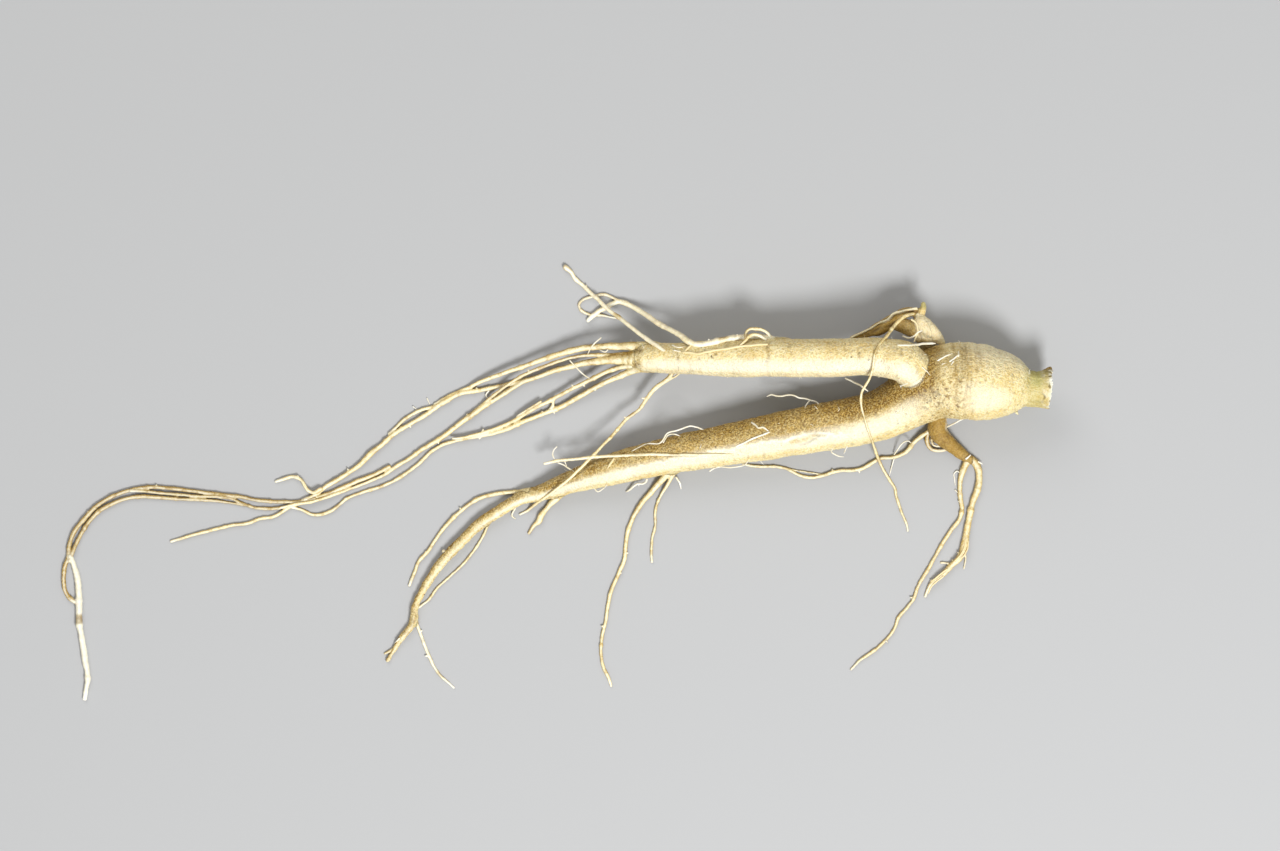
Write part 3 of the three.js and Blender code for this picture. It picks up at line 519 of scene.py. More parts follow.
def smooth_line(points, spacing):
    """Rows every `spacing` mm or so on the smooth line through rows of x, y, z and more."""
    points = np.array(points, float)
    at = travel_of(points)
    slopes = np.gradient(points, at, axis=0)
    wanted = np.linspace(0, at[-1], max(3, round(at[-1] / spacing) + 1))
    i = np.clip(np.searchsorted(at, wanted, side="right") - 1, 0, len(at) - 2)
    span = (at[i + 1] - at[i])[:, None]
    u = (wanted - at[i])[:, None] / span
    return (
        (2 * u**3 - 3 * u**2 + 1) * points[i]
        + (u**3 - 2 * u**2 + u) * span * slopes[i]
        + (3 * u**2 - 2 * u**3) * points[i + 1]
        + (u**3 - u**2) * span * slopes[i + 1]
    )


def along(route, spacing):
    return smooth_line([station(*s) for s in route], spacing)


def compass(path):
    """Each row's direction, and the two directions across it, level and upward."""
    ahead = np.gradient(path[:, :3], axis=0)
    ahead /= np.linalg.norm(ahead, axis=1)[:, None]
    level = np.cross([0, 0, 1], ahead)
    level /= np.linalg.norm(level, axis=1)[:, None]
    return ahead, level, np.cross(ahead, level)


def rough(points, size, seed=0):
    """Smooth noise from about -1 to 1 at each point, its bumps `size` mm across."""
    offset = Vector((7.3, 13.7, 3.1)) * seed
    return np.array([noise.noise(Vector(p) + offset) for p in np.asarray(points) / size])


def ramped(values, low, high):
    """A smooth step from 0 at `low` to 1 at `high`."""
    u = np.clip((values - low) / (high - low), 0, 1)
    return u * u * (3 - 2 * u)


def bell(values):
    """1 at 0, falling away softly on both sides to almost 0 at 2."""
    return np.exp(-(values**2))


# ---------------------------------------------------------------- skins

BODY_VOXEL = 0.33
SIDE_ROOT_VOXEL = 0.2
FINE_VOXEL = 0.17
FAR = 9.0
MARGIN = 1.4


def window(grid, low, high):
    """The slices of a grid that hold a box, and the x, y and z there."""
    first = np.clip(np.floor((low - grid.corner) / grid.voxel).astype(int), 0, grid.shape)
    last = np.clip(np.ceil((high - grid.corner) / grid.voxel).astype(int) + 1, 0, grid.shape)
    x, y, z = (
        np.float32(np.arange(first[i], last[i]) * grid.voxel + grid.corner[i]) for i in range(3)
    )
    slices = tuple(slice(f, s) for f, s in zip(first, last))
    return slices, x[:, None, None], y[None, :, None], z[None, None, :]


def draw_limb(skin, grid, path, width):
    """Draw a limb into a field of distances, melted by width into what is there."""
    reach = path[:, 3:] + MARGIN
    here, x, y, z = window(grid, (path[:, :3] - reach).min(0), (path[:, :3] + reach).max(0))
    own = SimpleNamespace(voxel=grid.voxel, corner=np.array([x[0, 0, 0], y[0, 0, 0], z[0, 0, 0]]))
    limb = np.full(skin[here].shape, FAR, np.float32)
    own.shape = limb.shape
    for a, b in zip(path[:-1], path[1:]):
        reach = max(a[3], b[3]) + MARGIN
        near, x, y, z = window(own, np.minimum(a, b)[:3] - reach, np.maximum(a, b)[:3] + reach)
        x, y, z = x - np.float32(a[0]), y - np.float32(a[1]), z - np.float32(a[2])
        step = np.float32(b - a)
        u = (x * step[0] + y * step[1] + z * step[2]) / (step[:3] @ step[:3])
        u = np.clip(u, 0, 1)
        away = (x - u * step[0]) ** 2 + (y - u * step[1]) ** 2 + (z - u * step[2]) ** 2
        limb[near] = np.minimum(limb[near], np.sqrt(away) - (np.float32(a[3]) + u * step[3]))
    there = skin[here]
    both = np.minimum(there, limb)
    if width:
        both -= np.maximum(width - np.abs(there - limb), 0) ** 2 / (4 * width)
    skin[here] = both


def whereabouts(points, paths):
    """Each point's limb, and the row of the limb's path whose skin is nearest to it."""
    rows = np.vstack(paths)
    limb = np.concatenate([np.full(len(path), n) for n, path in enumerate(paths)])
    nearest = np.empty(len(points), int)
    block = 4000
    for i in range(0, len(points), block):
        some = points[i : i + block]
        squares = (some**2).sum(1)[:, None] + (rows[:, :3] ** 2).sum(1) - 2 * some @ rows[:, :3].T
        gap = np.sqrt(np.maximum(squares, 0)) - rows[:, 3]
        nearest[i : i + block] = gap.argmin(1)
    return limb[nearest], nearest


def grow(name, limbs, voxel, cut=None):
    """A piece that is the skin of limbs, each a path and how far it melts into those before."""
    paths = [path for path, _ in limbs]
    rows = np.vstack(paths)
    corner = (rows[:, :3] - rows[:, 3:]).min(0) - MARGIN
    top = (rows[:, :3] + rows[:, 3:]).max(0) + MARGIN
    shape = tuple(np.ceil((top - corner) / voxel).astype(int))
    grid = SimpleNamespace(voxel=voxel, corner=corner, shape=shape)
    field = np.full(shape, FAR, np.float32)
    for path, width in limbs:
        draw_limb(field, grid, path, width)
    if cut:
        field = np.maximum(field, cut(*window(grid, corner, top)[1:]))
    volume = openvdb.FloatGrid(FAR)
    volume.copyFromArray(field)
    points, quads = volume.convertToQuads(0.0)
    points = points * voxel + corner
    piece = new_piece(name, points, quads.tolist())
    limb, nearest = whereabouts(points, paths)
    frames = [compass(path) for path in paths]
    ahead, level, upward = (np.vstack([f[i] for f in frames])[nearest] for i in range(3))
    away = points - rows[nearest, :3]
    travel = np.concatenate([travel_of(path) for path in paths])[nearest]
    length = np.concatenate([np.full(len(path), travel_of(path)[-1]) for path in paths])[nearest]
    travel = travel + (away * ahead).sum(1)
    grown = np.column_stack([travel, (away * level).sum(1), (away * upward).sum(1)])
    return SimpleNamespace(
        piece=piece,
        points=points,
        normals=read_normals(piece.data),
        limb=limb,
        radius=rows[nearest, 3],
        travel=travel,
        left=length - travel,
        grown=grown,
    )


def new_piece(name, points, faces):
    """A smooth-shaded object of points in millimetres on the routes' lines."""
    mesh = bpy.data.meshes.new(name)
    mesh.from_pydata(((points + SHIFT) * MM).tolist(), [], faces)
    mesh.polygons.foreach_set("use_smooth", np.ones(len(mesh.polygons), bool))
    mesh.update()
    piece = bpy.data.objects.new(name, mesh)
    bpy.context.scene.collection.objects.link(piece)
    return piece


def read_normals(mesh):
    normals = np.empty(len(mesh.vertices) * 3, np.float32)
    mesh.vertex_normals.foreach_get("vector", normals)
    return normals.reshape(-1, 3).astype(float)


def raise_skin(skin, rise):
    """Move the skin out by rise, but not through the table nor out of the solid's box."""
    moved = np.clip(skin.points + rise[:, None] * skin.normals, LOWEST, HIGHEST)
    skin.moved = moved
    flat = ((moved + SHIFT) * MM).astype(np.float32).ravel()
    skin.piece.data.vertices.foreach_set("co", flat)
    skin.piece.data.update()


def paint(skin, **layers):
    """Write what the materials read: place on the root, stains, and painted shade and highlights."""
    mesh = skin.piece.data
    grown = mesh.attributes.new("grown", "FLOAT_VECTOR", "POINT")
    grown.data.foreach_set("vector", skin.grown.astype(np.float32).ravel())
    for name in ("stain", "dark", "green", "bleach"):
        values = np.clip(layers.get(name, 0) + np.zeros(len(skin.points)), 0, 1)
        layer = mesh.attributes.new(name, "FLOAT", "POINT")
        layer.data.foreach_set("value", values.astype(np.float32))


def seen_from_above(skin, line):
    """How far each point of the skin's upper side is from a line of [x, y] points."""
    line = smooth_line([(x, y, 0) for x, y in line], 0.25)[:, :2]
    away = np.full(len(skin.points), FAR)
    low, high = line.min(0) - 2, line.max(0) + 2
    flat = skin.points[:, :2]
    near = ((flat > low) & (flat < high)).all(1) & (skin.normals[:, 2] > -0.1)
    gaps = np.linalg.norm(flat[near][:, None] - line[None], axis=2)
    away[near] = gaps.min(1)
    return away


def facing_light(skin):
    """How far each point faces the key light, seen from above."""
    return skin.normals[:, 2] - 0.4 * skin.normals[:, 1]


# ---------------------------------------------------------------- the thick roots

COLLAR_MELT = 0.9


def collar(route, length):
    """A rootlet's first stretch, swollen at the root that it grows from."""
    swollen, sunk = 1.35, 0.85
    path = along(route, 0.5)
    path = path[travel_of(path) < length]
    path[:, 3] *= np.linspace(swollen, sunk, len(path))
    return path


def marked(skin):
    """The depth, the stain and the darkness of the ring marks, the painted gap shade and the dots on a skin.
    """
    depth, stain, dark = np.zeros((3, len(skin.points)))
    wander = 0.6 + 0.9 * rough(skin.points, 0.8, 21)
    for width, deep, line in SCARS_AND_SHADED_GAPS:
        away = seen_from_above(skin, line)
        share = bell(away / width) * np.clip(wander, 0, 1.2)
        depth -= deep * share
        dark += 2.4 * deep * share
        stain += 3 * deep * bell(away / (1.7 * width))
    for width, dots in DARK_DOTS:
        for x, y in dots:
            away = np.hypot(skin.points[:, 0] - x, 1.6 * (skin.points[:, 1] - y))
            share = bell(away / width) * (skin.normals[:, 2] > 0)
            depth -= 0.1 * share
            dark += 1.2 * share
    return depth, stain, dark


def greenness(x, y):
    """How green the skin is near the stem: a tint, and an olive streak on the stem."""
    streak = bell(np.hypot((x - 119.4) / 2.6, (y - 25) / 1.4))
    far_side = ramped(y, 24.5, 27.5)
    return 0.09 * ramped(x, 103, 111) + (0.36 + 0.3 * far_side) * ramped(x, 115, 118.5) + 0.4 * streak


def root_body():
    """The crown and its two legs.

    Along x, the tail is below 0, the lower leg reaches 86 and the crown goes on to the stem.
    """
    limbs = [(along(CROWN_AND_LOWER_LEG, 1), 0), (along(UPPER_LEG_ROUTE, 1), 0.5)]
    limbs.append((along(NECK_SCALE, 0.4), 0.4))
    for group, length, names in COLLARED:
        limbs += [(collar(group[name], length), COLLAR_MELT) for name in names]
    skin = grow("root_body", limbs, BODY_VOXEL)
    x, y, z = skin.points.T
    slope = skin.normals[:, 1]
    main = skin.limb == 0
    upper = skin.limb == 1
    crown = main * ramped(x, 86, 94)
    low_leg = main * ramped(x, 86, 80)
    tail = main * ramped(x, 0, -12)
    size = np.clip(skin.radius / 5, 0.25, 1.3)

    lumps = rough(skin.points, 7, 3)
    dimples = rough(skin.points, 2.4, 4)
    grit = rough(skin.points, 0.85, 7)
    bands = rough(skin.grown / [1, 7, 7], 2.3, 2)
    rings = rough(skin.grown / [1, 6, 6], 1.0, 1)
    creases = rough(skin.grown / [7, 1, 1], 1.1, 5)
    pits = ramped(rough(skin.grown / [1, 1.8, 1.8], 1.0, 9), 0.28, 0.6)
    rise = size * (0.2 * lumps + 0.08 * dimples + (0.08 + 0.07 * crown) * bands - 0.12)
    rise += size * ((0.05 + 0.07 * crown) * rings + 0.08 * low_leg * creases - 0.07 * pits)
    rise += (0.08 + 0.03 * low_leg) * grit + tail * (0.15 * creases + 0.15 * rough(skin.points, 1.7, 12))
    depth, marks, dark = marked(skin)
    edge = bell(seen_from_above(skin, FLAKE_EDGE) / 0.3)
    flake = bell(seen_from_above(skin, FLAKE_MIDDLE) / 0.7)
    # Painted shadow: the groove below the leaf is drawn dark.
    line = bell(seen_from_above(skin, FLAKE_GROOVE_SHADOW) / 0.22)

    # Brown bark is left on the lower leg's far side, down to a torn edge along its middle.
    torn = slope + 0.17 * ramped(x, 60, 70) + 0.1 * lumps + 0.12 * dimples + 0.1 * grit
    sharp = ramped(x, 76, 67)
    bark = ramped(torn, -0.26, -0.14) * sharp + ramped(torn, -0.25, 0.8) * (1 - sharp)
    torn_edge = bell((torn + 0.26) / 0.05) * sharp * low_leg * ramped(x, 10, 30)
    raise_skin(skin, rise + depth + 0.16 * edge + 0.14 * flake - 0.25 * line + 0.1 * bark * sharp * low_leg)
    # Painted shade: away rises on the sides turned from the key light, and browns the upper leg, the crown
    # and the bark there.
    away = ramped(slope, -0.05, 0.9)
    # Painted highlight: the skin that faces the key light most is whitened.
    highlight_mask = ramped(0.9 * skin.normals[:, 2] - 0.44 * slope, 0.86, 1)
    spotted = crown * ramped(x, 105, 98)
    ruddy = spotted * (0.55 + 0.45 * rough(skin.points, 3, 33)) * ramped(slope, 1.2, 0.5)
    # Painted light: the crown's far side near the stem is whitened.
    lit_far_side = main * ramped(x, 99, 108) * ramped(slope, 0.1, 0.8)
    freckles = ramped(rough(skin.points, 0.9, 41), 0.26, 0.4) * ramped(slope, 0.4, -0.2)
    # The tail is browner on its side turned from the key light.
    tail_side = ramped(0.8 * slope - 0.6 * skin.normals[:, 0], 0, 0.8)
    blotch = 0.5 + 0.5 * rough(skin.points, 4, 31)
    fork = ramped(x, 64, 80) * ramped(x, 96, 90) * main * ramped(y - 0.22 * (x - 66), 12.5, 18)
    knee = ramped(x, 86, 91) * ramped(x, 97, 93.5) * main * ramped(y, 24, 31)
    # Painted shade: the knee's end is browned and darkened where it meets the crown.
    seam = upper * ramped(x, 88, 92) * ramped(z, 13, 9.5)
    ends = (skin.limb > 1) * ramped(x, 60, 30)
    thin_end = ramped(x, 32, 8)
    stain = away * (0.16 * upper + 0.08 * crown)
    stain += (0.72 + 0.25 * away - 0.4 * tail - 0.2 * thin_end) * low_leg * bark
    stain += 0.35 * thin_end * main * ramped(creases, 0, 0.5) + 0.45 * tail * tail_side
    stain += fork + 0.3 * knee + 0.6 * seam + 0.12 * ends + 0.4 * ruddy
    stain += 0.8 * freckles * spotted + 0.3 * flake
    fresh = ramped(x, 104, 111) * main
    highlight = highlight_mask * (0.55 + 0.1 * upper + 0.12 * (low_leg + tail) * (1 - bark))
    # Painted highlight: the upper leg's side toward the key light is whitened as well.
    paint(
        skin,
        stain=stain * (0.8 + 0.3 * blotch) + marks + 0.06,
        dark=dark + 0.35 * pits + 0.12 * np.clip(-bands, 0, 1) * (1 - fresh) + 2 * line
        + 0.3 * fork * blotch + 0.4 * seam + 0.12 * crown * np.clip(-rings, 0, 1) * (1 - fresh)
        + 0.25 * freckles * spotted,
        green=greenness(x, y) * (main + (skin.limb == 2)),
        bleach=0.5 * edge + 0.3 * torn_edge + 0.25 * lit_far_side + 0.25 * upper * ramped(slope, -0.3, -0.9)
        + highlight * (0.75 + 0.25 * blotch) * (1 - 0.8 * spotted) * (1 - 0.7 * flake),
    )
    return skin


def torn_cut(x, y, z):
    """How far a point is past the stem's torn cut, which is dished inside its rim."""
    _, middle_y, middle_z, radius = station(*STEM[1])
    across = np.hypot(y - middle_y, z - middle_z)[0] / radius
    spots = np.stack(np.broadcast_arrays(0, y[0], z[0]), axis=-1).reshape(-1, 3)
    jagged = rough(spots, 1.2, 5) * 0.45 + rough(spots, 0.5, 6) * 0.25
    dish = DISH_DEPTH * np.clip(1 - across**4, 0, 1)
    face = STEM_CUT + CUT_TILT * (y[0] - middle_y) - dish + jagged.reshape(across.shape)
    return np.float32(x - face[None])


def stem_stub():
    """The cut stem on the crown, with the stub of an old scale at its rim."""
    limbs = [(along(STEM, 0.8), 0), (along(STEM_SCALE, 0.4), 0.5)]
    skin = grow("stem_stub", limbs, FINE_VOXEL, torn_cut)
    x, y, _ = skin.points.T
    ridges = rough(skin.grown / [6, 1, 1], 0.9, 1)
    grit = rough(skin.points, 0.6, 2)
    crumbs = rough(skin.points, 1.1, 6)
    lumps = rough(skin.points, 3, 3)
    face = ramped(skin.normals[:, 0], 0.3, 0.75) * ramped(x, 120.4, 121.4)
    depth, marks, dark = marked(skin)
    waist = bell((x - 119.2 - 0.3 * lumps) / 0.3) * ramped(y, 23.5, 26)
    rise = (1 - face) * (0.14 * ridges + 0.12 * lumps - 0.1 * waist) + 0.07 * grit
    raise_skin(skin, rise + depth)
    rim = ramped(x, 121.7, 122.5)
    middle = np.hypot(skin.grown[:, 1], skin.grown[:, 2]) / (1.1 * NECK)
    scale = skin.limb == 1
    outer = ramped(x, 119.6, 121.2) * (1 - face) * (1 - scale)
    mottles = ramped(rough(skin.points, 1.6, 8), 0, 0.3) * outer
    # Painted shade: the stub's side turned from the key light is browned and darkened.
    shaded_far_edge = ramped(skin.normals[:, 1], 0.5, 0.9)
    paint(
        skin,
        stain=0.7 * scale + face * ramped(middle, 0.75, 0.3) * 0.8 + 0.6 * shaded_far_edge
        + marks + 0.2 + 0.2 * lumps,
        dark=dark + 0.3 * waist + 0.4 * np.clip(-ridges, 0, 1) * (1 - face) + 0.2 * scale
        + 0.1 + outer * ramped(crumbs, 0.18, 0.35) + 0.2 * shaded_far_edge + 0.7 * face * ramped(grit, 0, 0.5),
        green=(1 - face) * (1 - scale) * greenness(x, y) * (1 - 0.45 * outer),
        bleach=0.3 * mottles
        + rim * (0.9 * face + 0.7) * (1 - scale) * ramped(middle, 0.55, 0.85) * ramped(crumbs, 0.4, 0.1),
    )
    return skin


# ---------------------------------------------------------------- side roots and rootlets

ROOTLET_MELT = 0.25
TWIG_RADII = [0.3, 0.24, 0.2]
TWIG_RISE = 0.2
# The first seeds of the branches and of the rootlets, and how many each group of rootlets has.
BRANCH_SEED = 60
ROOTLET_SEED = 100
GROUP_SEEDS = 20


def rootlet(name, route, seed):
    """A rootlet's limbs: itself, with slight kinks and knots, and its twigs."""
    chance = np.random.RandomState(seed)
    path = along(route, 0.35)
    travel = travel_of(path)
    line = np.column_stack([travel, np.full(len(path), 17.0 * seed), np.zeros(len(path))])
    free = ramped(travel, 1, 4) * ramped(travel[-1] - travel, -1, 1)
    path[:, 0] += free * (0.07 * rough(line, 2.6, 1) + 0.04 * rough(line, 1.1, 2))
    path[:, 1] += free * (0.07 * rough(line, 2.7, 3) + 0.04 * rough(line, 1.2, 4))
    path[:, 3] *= 1 + 0.1 * rough(line, 2.6, 6) + 0.1 * rough(line, 0.9, 7)
    knots = np.cumsum(chance.uniform(3, 11, 40))
    for knot in knots[knots < travel[-1] - 2]:
        swell = chance.uniform(0.05, 0.3) * ramped(path[:, 3], 1, 0.7)
        path[:, 3] *= 1 + swell * bell((travel - knot) / 0.4)
    limbs = [(path, ROOTLET_MELT)]
    for x, y, reach_x, reach_y in TWIGS.get(name, []):
        foot = path[np.hypot(path[:, 0] - x, path[:, 1] - y).argmin(), :3]
        tip = foot + [reach_x, reach_y, TWIG_RISE]
        twig = np.column_stack([[foot, (foot + tip) / 2, tip], TWIG_RADII])
        limbs.append((smooth_line(twig, 0.25), ROOTLET_MELT))
    return limbs


def rootlet_skin(name, routes, seed):
    """One piece of rootlets, which melt together where they fork."""
    limbs, tones = [], []
    for n, (route_name, route) in enumerate(routes.items()):
        made = rootlet(route_name, route, seed + n)
        limbs += made
        own = [tone.get(route_name, 0.0) for tone in (BROWNER, WHITER, GREYER, BROWN_TIPS)]
        tones += [own] * len(made)
    skin = grow(name, limbs, FINE_VOXEL)
    browner, whiter, greyer, brown_tip = np.array(tones)[skin.limb].T
    grit = rough(skin.points, 0.7, 1)
    ridges = rough(skin.grown / [5, 1, 1], 0.5, 2)
    raise_skin(skin, 0.05 * grit + 0.05 * ridges)
    patches = 0.5 + 0.5 * rough(skin.points, 5, 3)
    scuffs = ramped(rough(skin.points, 1.3, 11), 0.15, 0.45)
    joints = ramped(rough(skin.grown / [1, 9, 9], 3.1, 5), 0.35, 0.6)
    tip = ramped(skin.left, 3, 0.5) * (skin.radius < 0.8)
    facing = facing_light(skin)
    # Painted shade and highlight: sides turned from the key light are browned, and those facing it whitened.
    shaded_sides = ramped(facing, 0.85, 0.1)
    highlight_mask = ramped(facing, 0.85, 1.05)
    # Painted shade: thick rootlets are browned and darkened on their far side.
    thick = ramped(skin.radius, 1.05, 1.4) * ramped(skin.normals[:, 1], -0.5, 0.4)
    paint(
        skin,
        stain=browner + 0.12 * patches + 0.7 * shaded_sides + 0.2 * joints + 0.3 * scuffs + tip * brown_tip
        + 0.5 * thick,
        dark=greyer + 0.1 * thick + 0.2 * ramped(grit, 0.25, 0.7) + 0.15 * joints + 0.12 * shaded_sides,
        bleach=whiter * (0.7 + 0.3 * patches) * (1 - 0.8 * joints) + tip * (0.4 - brown_tip)
        + 0.75 * highlight_mask * (1 - 0.5 * patches) * (1 - 0.5 * scuffs) * (1 - greyer),
    )
    return skin


def side_roots():
    """The torn root behind the knee and the brown one that branches below the crown."""
    melts = {
        "cone_foot": 0, "cone_left": 0.8, "cone_side": 0.9, "bud": 0.4, "fold": 0.4, "lobe": 0.25,
        "fold_edge": 0.2,
    }
    limbs = [(along(SHOULDER[name], 0.5), melt) for name, melt in melts.items()]
    limbs.append((along(BRANCHING_ROOT, 0.6), 0))
    named = len(limbs)
    for n, (name, route) in enumerate(BRANCHES.items()):
        limbs += rootlet(name, route, BRANCH_SEED + n)
    skin = grow("side_roots", limbs, SIDE_ROOT_VOXEL)
    x, y, _ = skin.points.T
    foot, left, side, bud, fold, lobe, edge, branch = (skin.limb == n for n in range(named))
    cone = foot | left | side
    twigs = skin.limb >= named
    lumps = rough(skin.points, 1.7, 1)
    grit = rough(skin.points, 0.7, 2)
    ridges = rough(skin.grown / [6, 1, 1], 0.8, 3)
    rings = rough(skin.grown / [1, 5, 5], 0.8, 4)
    warts = ramped(rough(skin.points, 1.3, 8), 0.35, 0.6)
    rise = 0.05 * grit + 0.12 * lumps * branch + 0.08 * rings * branch - 0.05 * cone
    rise += ridges * (0.4 * fold + 0.1 * bud + 0.05 * cone + 0.06 * twigs) + 0.12 * warts * branch
    rise += 0.08 * grit * cone
    raise_skin(skin, rise)
    # Painted shade: the cone's left part and the lobe beside it are browned as the cone's shaded side.
    cone_shade = ramped(x, 94.5, 91) * ramped(y, 36.6, 35) * cone
    thick = ramped(skin.travel, 16, 11)
    bead = bud * ramped(y, 42.8, 43.8)
    scar = bell(np.hypot((x - 89) / 1.1, (y - 42.5) / 0.35))
    stain = (0.7 + 0.2 * ramped(x, 87.5, 84.5)) * lobe + 0.5 * cone_shade
    stain += (0.8 + 0.4 * ridges) * fold + 0.15 * bud
    curl = twigs * ramped(x, 98.6, 97.4) * ramped(y, 5, 7)
    stain += (0.82 + 0.2 * thick) * branch + 0.15 * twigs + 0.5 * curl
    # Painted shade and highlight: twigs are browned where turned from the key light and whitened facing it;
    # the branch is whitened toward it.
    facing = facing_light(skin)
    paint(
        skin,
        stain=stain + 0.12 * (1 - lobe) + 0.5 * twigs * ramped(facing, 0.85, 0.1),
        dark=0.8 * ramped(-ridges, 0, 0.35) * fold + 0.2 * cone_shade + 0.1 * fold + 0.9 * scar
        + 0.2 * cone * ramped(grit, 0.2, 0.5) + 0.15 * cone + 0.5 * bead
        + branch * (0.19 + 0.2 * ramped(-lumps, 0, 0.5) + 0.3 * thick * ramped(grit, 0.25, 0.5))
        + 0.6 * warts * branch + 0.25 * twigs * ramped(grit, 0.1, 0.6),
        green=0.6 * bead,
        bleach=0.35 * edge + twigs * (0.3 * ramped(skin.left, 5, 1) + 0.5 * ramped(facing, 0.85, 1.05))
        + 0.22 * cone * (1 - cone_shade)
        + 0.35 * branch * ramped(skin.normals[:, 0] - 0.3 * skin.normals[:, 2], 0.5, 0.8),
    )
    return skin


# ---------------------------------------------------------------- hairs

HAIR_SIDES = 6
SKY = 40


def tube(path):
    """Points and faces of a closed thin tube, pointed at both ends."""
    ahead, level, upward = compass(path)
    angles = 2 * math.pi * np.arange(HAIR_SIDES) / HAIR_SIDES
    ring = np.cos(angles)[:, None] * level[:, None] + np.sin(angles)[:, None] * upward[:, None]
    skin = (path[:, None, :3] + path[:, None, 3:] * ring).reshape(-1, 3)
    ends = [path[0, :3] - ahead[0] * path[0, 3], path[-1, :3] + ahead[-1] * path[-1, 3]]
    faces = []
    for i in range(len(path) - 1):
        for k in range(HAIR_SIDES):
            after = (k + 1) % HAIR_SIDES
            here, there = i * HAIR_SIDES, (i + 1) * HAIR_SIDES
            faces.append((here + k, here + after, there + after, there + k))
    start, end = len(skin), len(skin) + 1
    for k in range(HAIR_SIDES):
        after = (k + 1) % HAIR_SIDES
        faces.append((start, after, k))
        faces.append((end, end - 1 - HAIR_SIDES + k, end - 1 - HAIR_SIDES + after))
    return np.vstack([skin, ends]), faces


def skin_below(tree, x, y):
    """The skin's topmost point at a place, or None where there is no skin."""
    return tree.ray_cast(Vector((x, y, SKY)), Vector((0, 0, -1)))[0]


def laid(tree, point):
    """A hair's point: as given, or on the skin where it has no height of its own."""
    if len(point) == 3:
        return np.array(point, float)
    hit = skin_below(tree, *point)
    if hit is None:
        hit = tree.find_nearest(Vector((*point, 8)))[0]
    return np.array(hit)


def root_hairs(body):
    """The fine hairs on the thick roots: those that stand out, and a fuzz of short ones."""
    mesh = body.piece.data
    faces = [tuple(face.vertices) for face in mesh.polygons]
    tree = BVHTree.FromPolygons([Vector(p) for p in body.moved], faces)
    lines, creams = [], []
    for n, (radius, route) in enumerate(HAIRS + STRANDS):
        creams.append(n >= len(HAIRS))
        spots = np.array([laid(tree, point) for point in route])
        line = smooth_line(np.column_stack([spots, np.full(len(spots), radius + HAIR_SWELL)]), 0.4)
        for row, point in zip(line, line.copy()):
            under = skin_below(tree, *point[:2])
            if under is not None and point[2] < under.z + 0.6 * radius and point[2] > under.z - 2:
                row[2] = under.z + 0.6 * radius
        wave = np.column_stack([np.arange(len(line)) * 0.4, np.full(len(line), 9.0 * n), line[:, 2] * 0])
        line[:, 0] += 0.1 * rough(wave, 1.5, 1)
        line[:, 1] += 0.1 * rough(wave, 1.5, 2)
        lines.append(line)
    chance = np.random.RandomState(FUZZ_SEED)
    for i in chance.choice(len(body.moved), FUZZ, replace=False):
        way = body.normals[i] * chance.uniform(0.3, 1) + chance.uniform(-1, 1, 3)
        way /= np.linalg.norm(way)
        foot = body.moved[i]
        long = chance.uniform(0.4, 1.3)
        bend = chance.uniform(-0.3, 0.3, 3)
        if foot[2] > 1.5:
            spots = [foot, foot + way * long / 2 + bend * long, foot + way * long]
            lines.append(smooth_line(np.column_stack([spots, np.full(3, FUZZ_RADIUS)]), 0.25))
            creams.append(False)
    points, faces, tones = [], [], []
    for line, cream in zip(lines, creams):
        travel = travel_of(line)
        line[:, 3] *= 0.45 + 0.55 * ramped(travel[-1] - travel, 0, 1.2)
        line[:, 2] = np.maximum(line[:, 2], line[:, 3])
        tube_points, tube_faces = tube(line)
        base = sum(len(p) for p in points)
        faces += [tuple(base + i for i in face) for face in tube_faces]
        points.append(tube_points)
        tones += [float(cream)] * len(tube_points)
    piece = new_piece("root_hairs", np.clip(np.vstack(points), LOWEST, HIGHEST), faces)
    piece.data.attributes.new("cream", "FLOAT", "POINT").data.foreach_set("value", tones)
    return piece


# ---------------------------------------------------------------- materials

PALE = (0.85, 0.755, 0.45)
CREAM = (0.78, 0.635, 0.32)
STRAW = (0.65, 0.46, 0.14)
OCHRE = (0.45, 0.29, 0.07)
TAN = (0.34, 0.205, 0.036)
UMBER = (0.15, 0.08, 0.016)
BROWN = (0.11, 0.055, 0.018)
GREEN = (0.40, 0.39, 0.12)
WHITE = (0.88, 0.865, 0.75)


def material(name):
    """A new material, its node tree and its surface."""
    made = bpy.data.materials.new(name)
    made.use_nodes = True
    return made, made.node_tree, made.node_tree.nodes["Principled BSDF"]


def attribute(tree, name, output="Fac"):
    """What paint() wrote on the skin under a name."""
    made = tree.nodes.new("ShaderNodeAttribute")
    made.attribute_name = name
    return made.outputs[output]


def stretched(tree, place, scale):
    made = tree.nodes.new("ShaderNodeMapping")
    made.inputs["Scale"].default_value = scale
    tree.links.new(place, made.inputs["Vector"])
    return made.outputs["Vector"]


def noise_of(tree, place, size, detail=3.0, roughness=0.55):
    """Noise from 0 to 1, its features `size` mm across."""
    made = tree.nodes.new("ShaderNodeTexNoise")
    made.inputs["Scale"].default_value = 1 / size
    made.inputs["Detail"].default_value = detail
    made.inputs["Roughness"].default_value = roughness
    tree.links.new(place, made.inputs["Vector"])
    return made.outputs["Fac"]


def ramp(tree, value, stops):
    """A colour or a grey for each value from 0 to 1."""
    made = tree.nodes.new("ShaderNodeValToRGB")
    elements = made.color_ramp.elements
    while len(elements) < len(stops):
        elements.new(0.5)
    for element, (position, colour) in zip(elements, stops):
        element.position = position
        element.color = (*colour, 1) if isinstance(colour, tuple) else (colour, colour, colour, 1)
    tree.links.new(value, made.inputs["Fac"])
    return made.outputs["Color"]


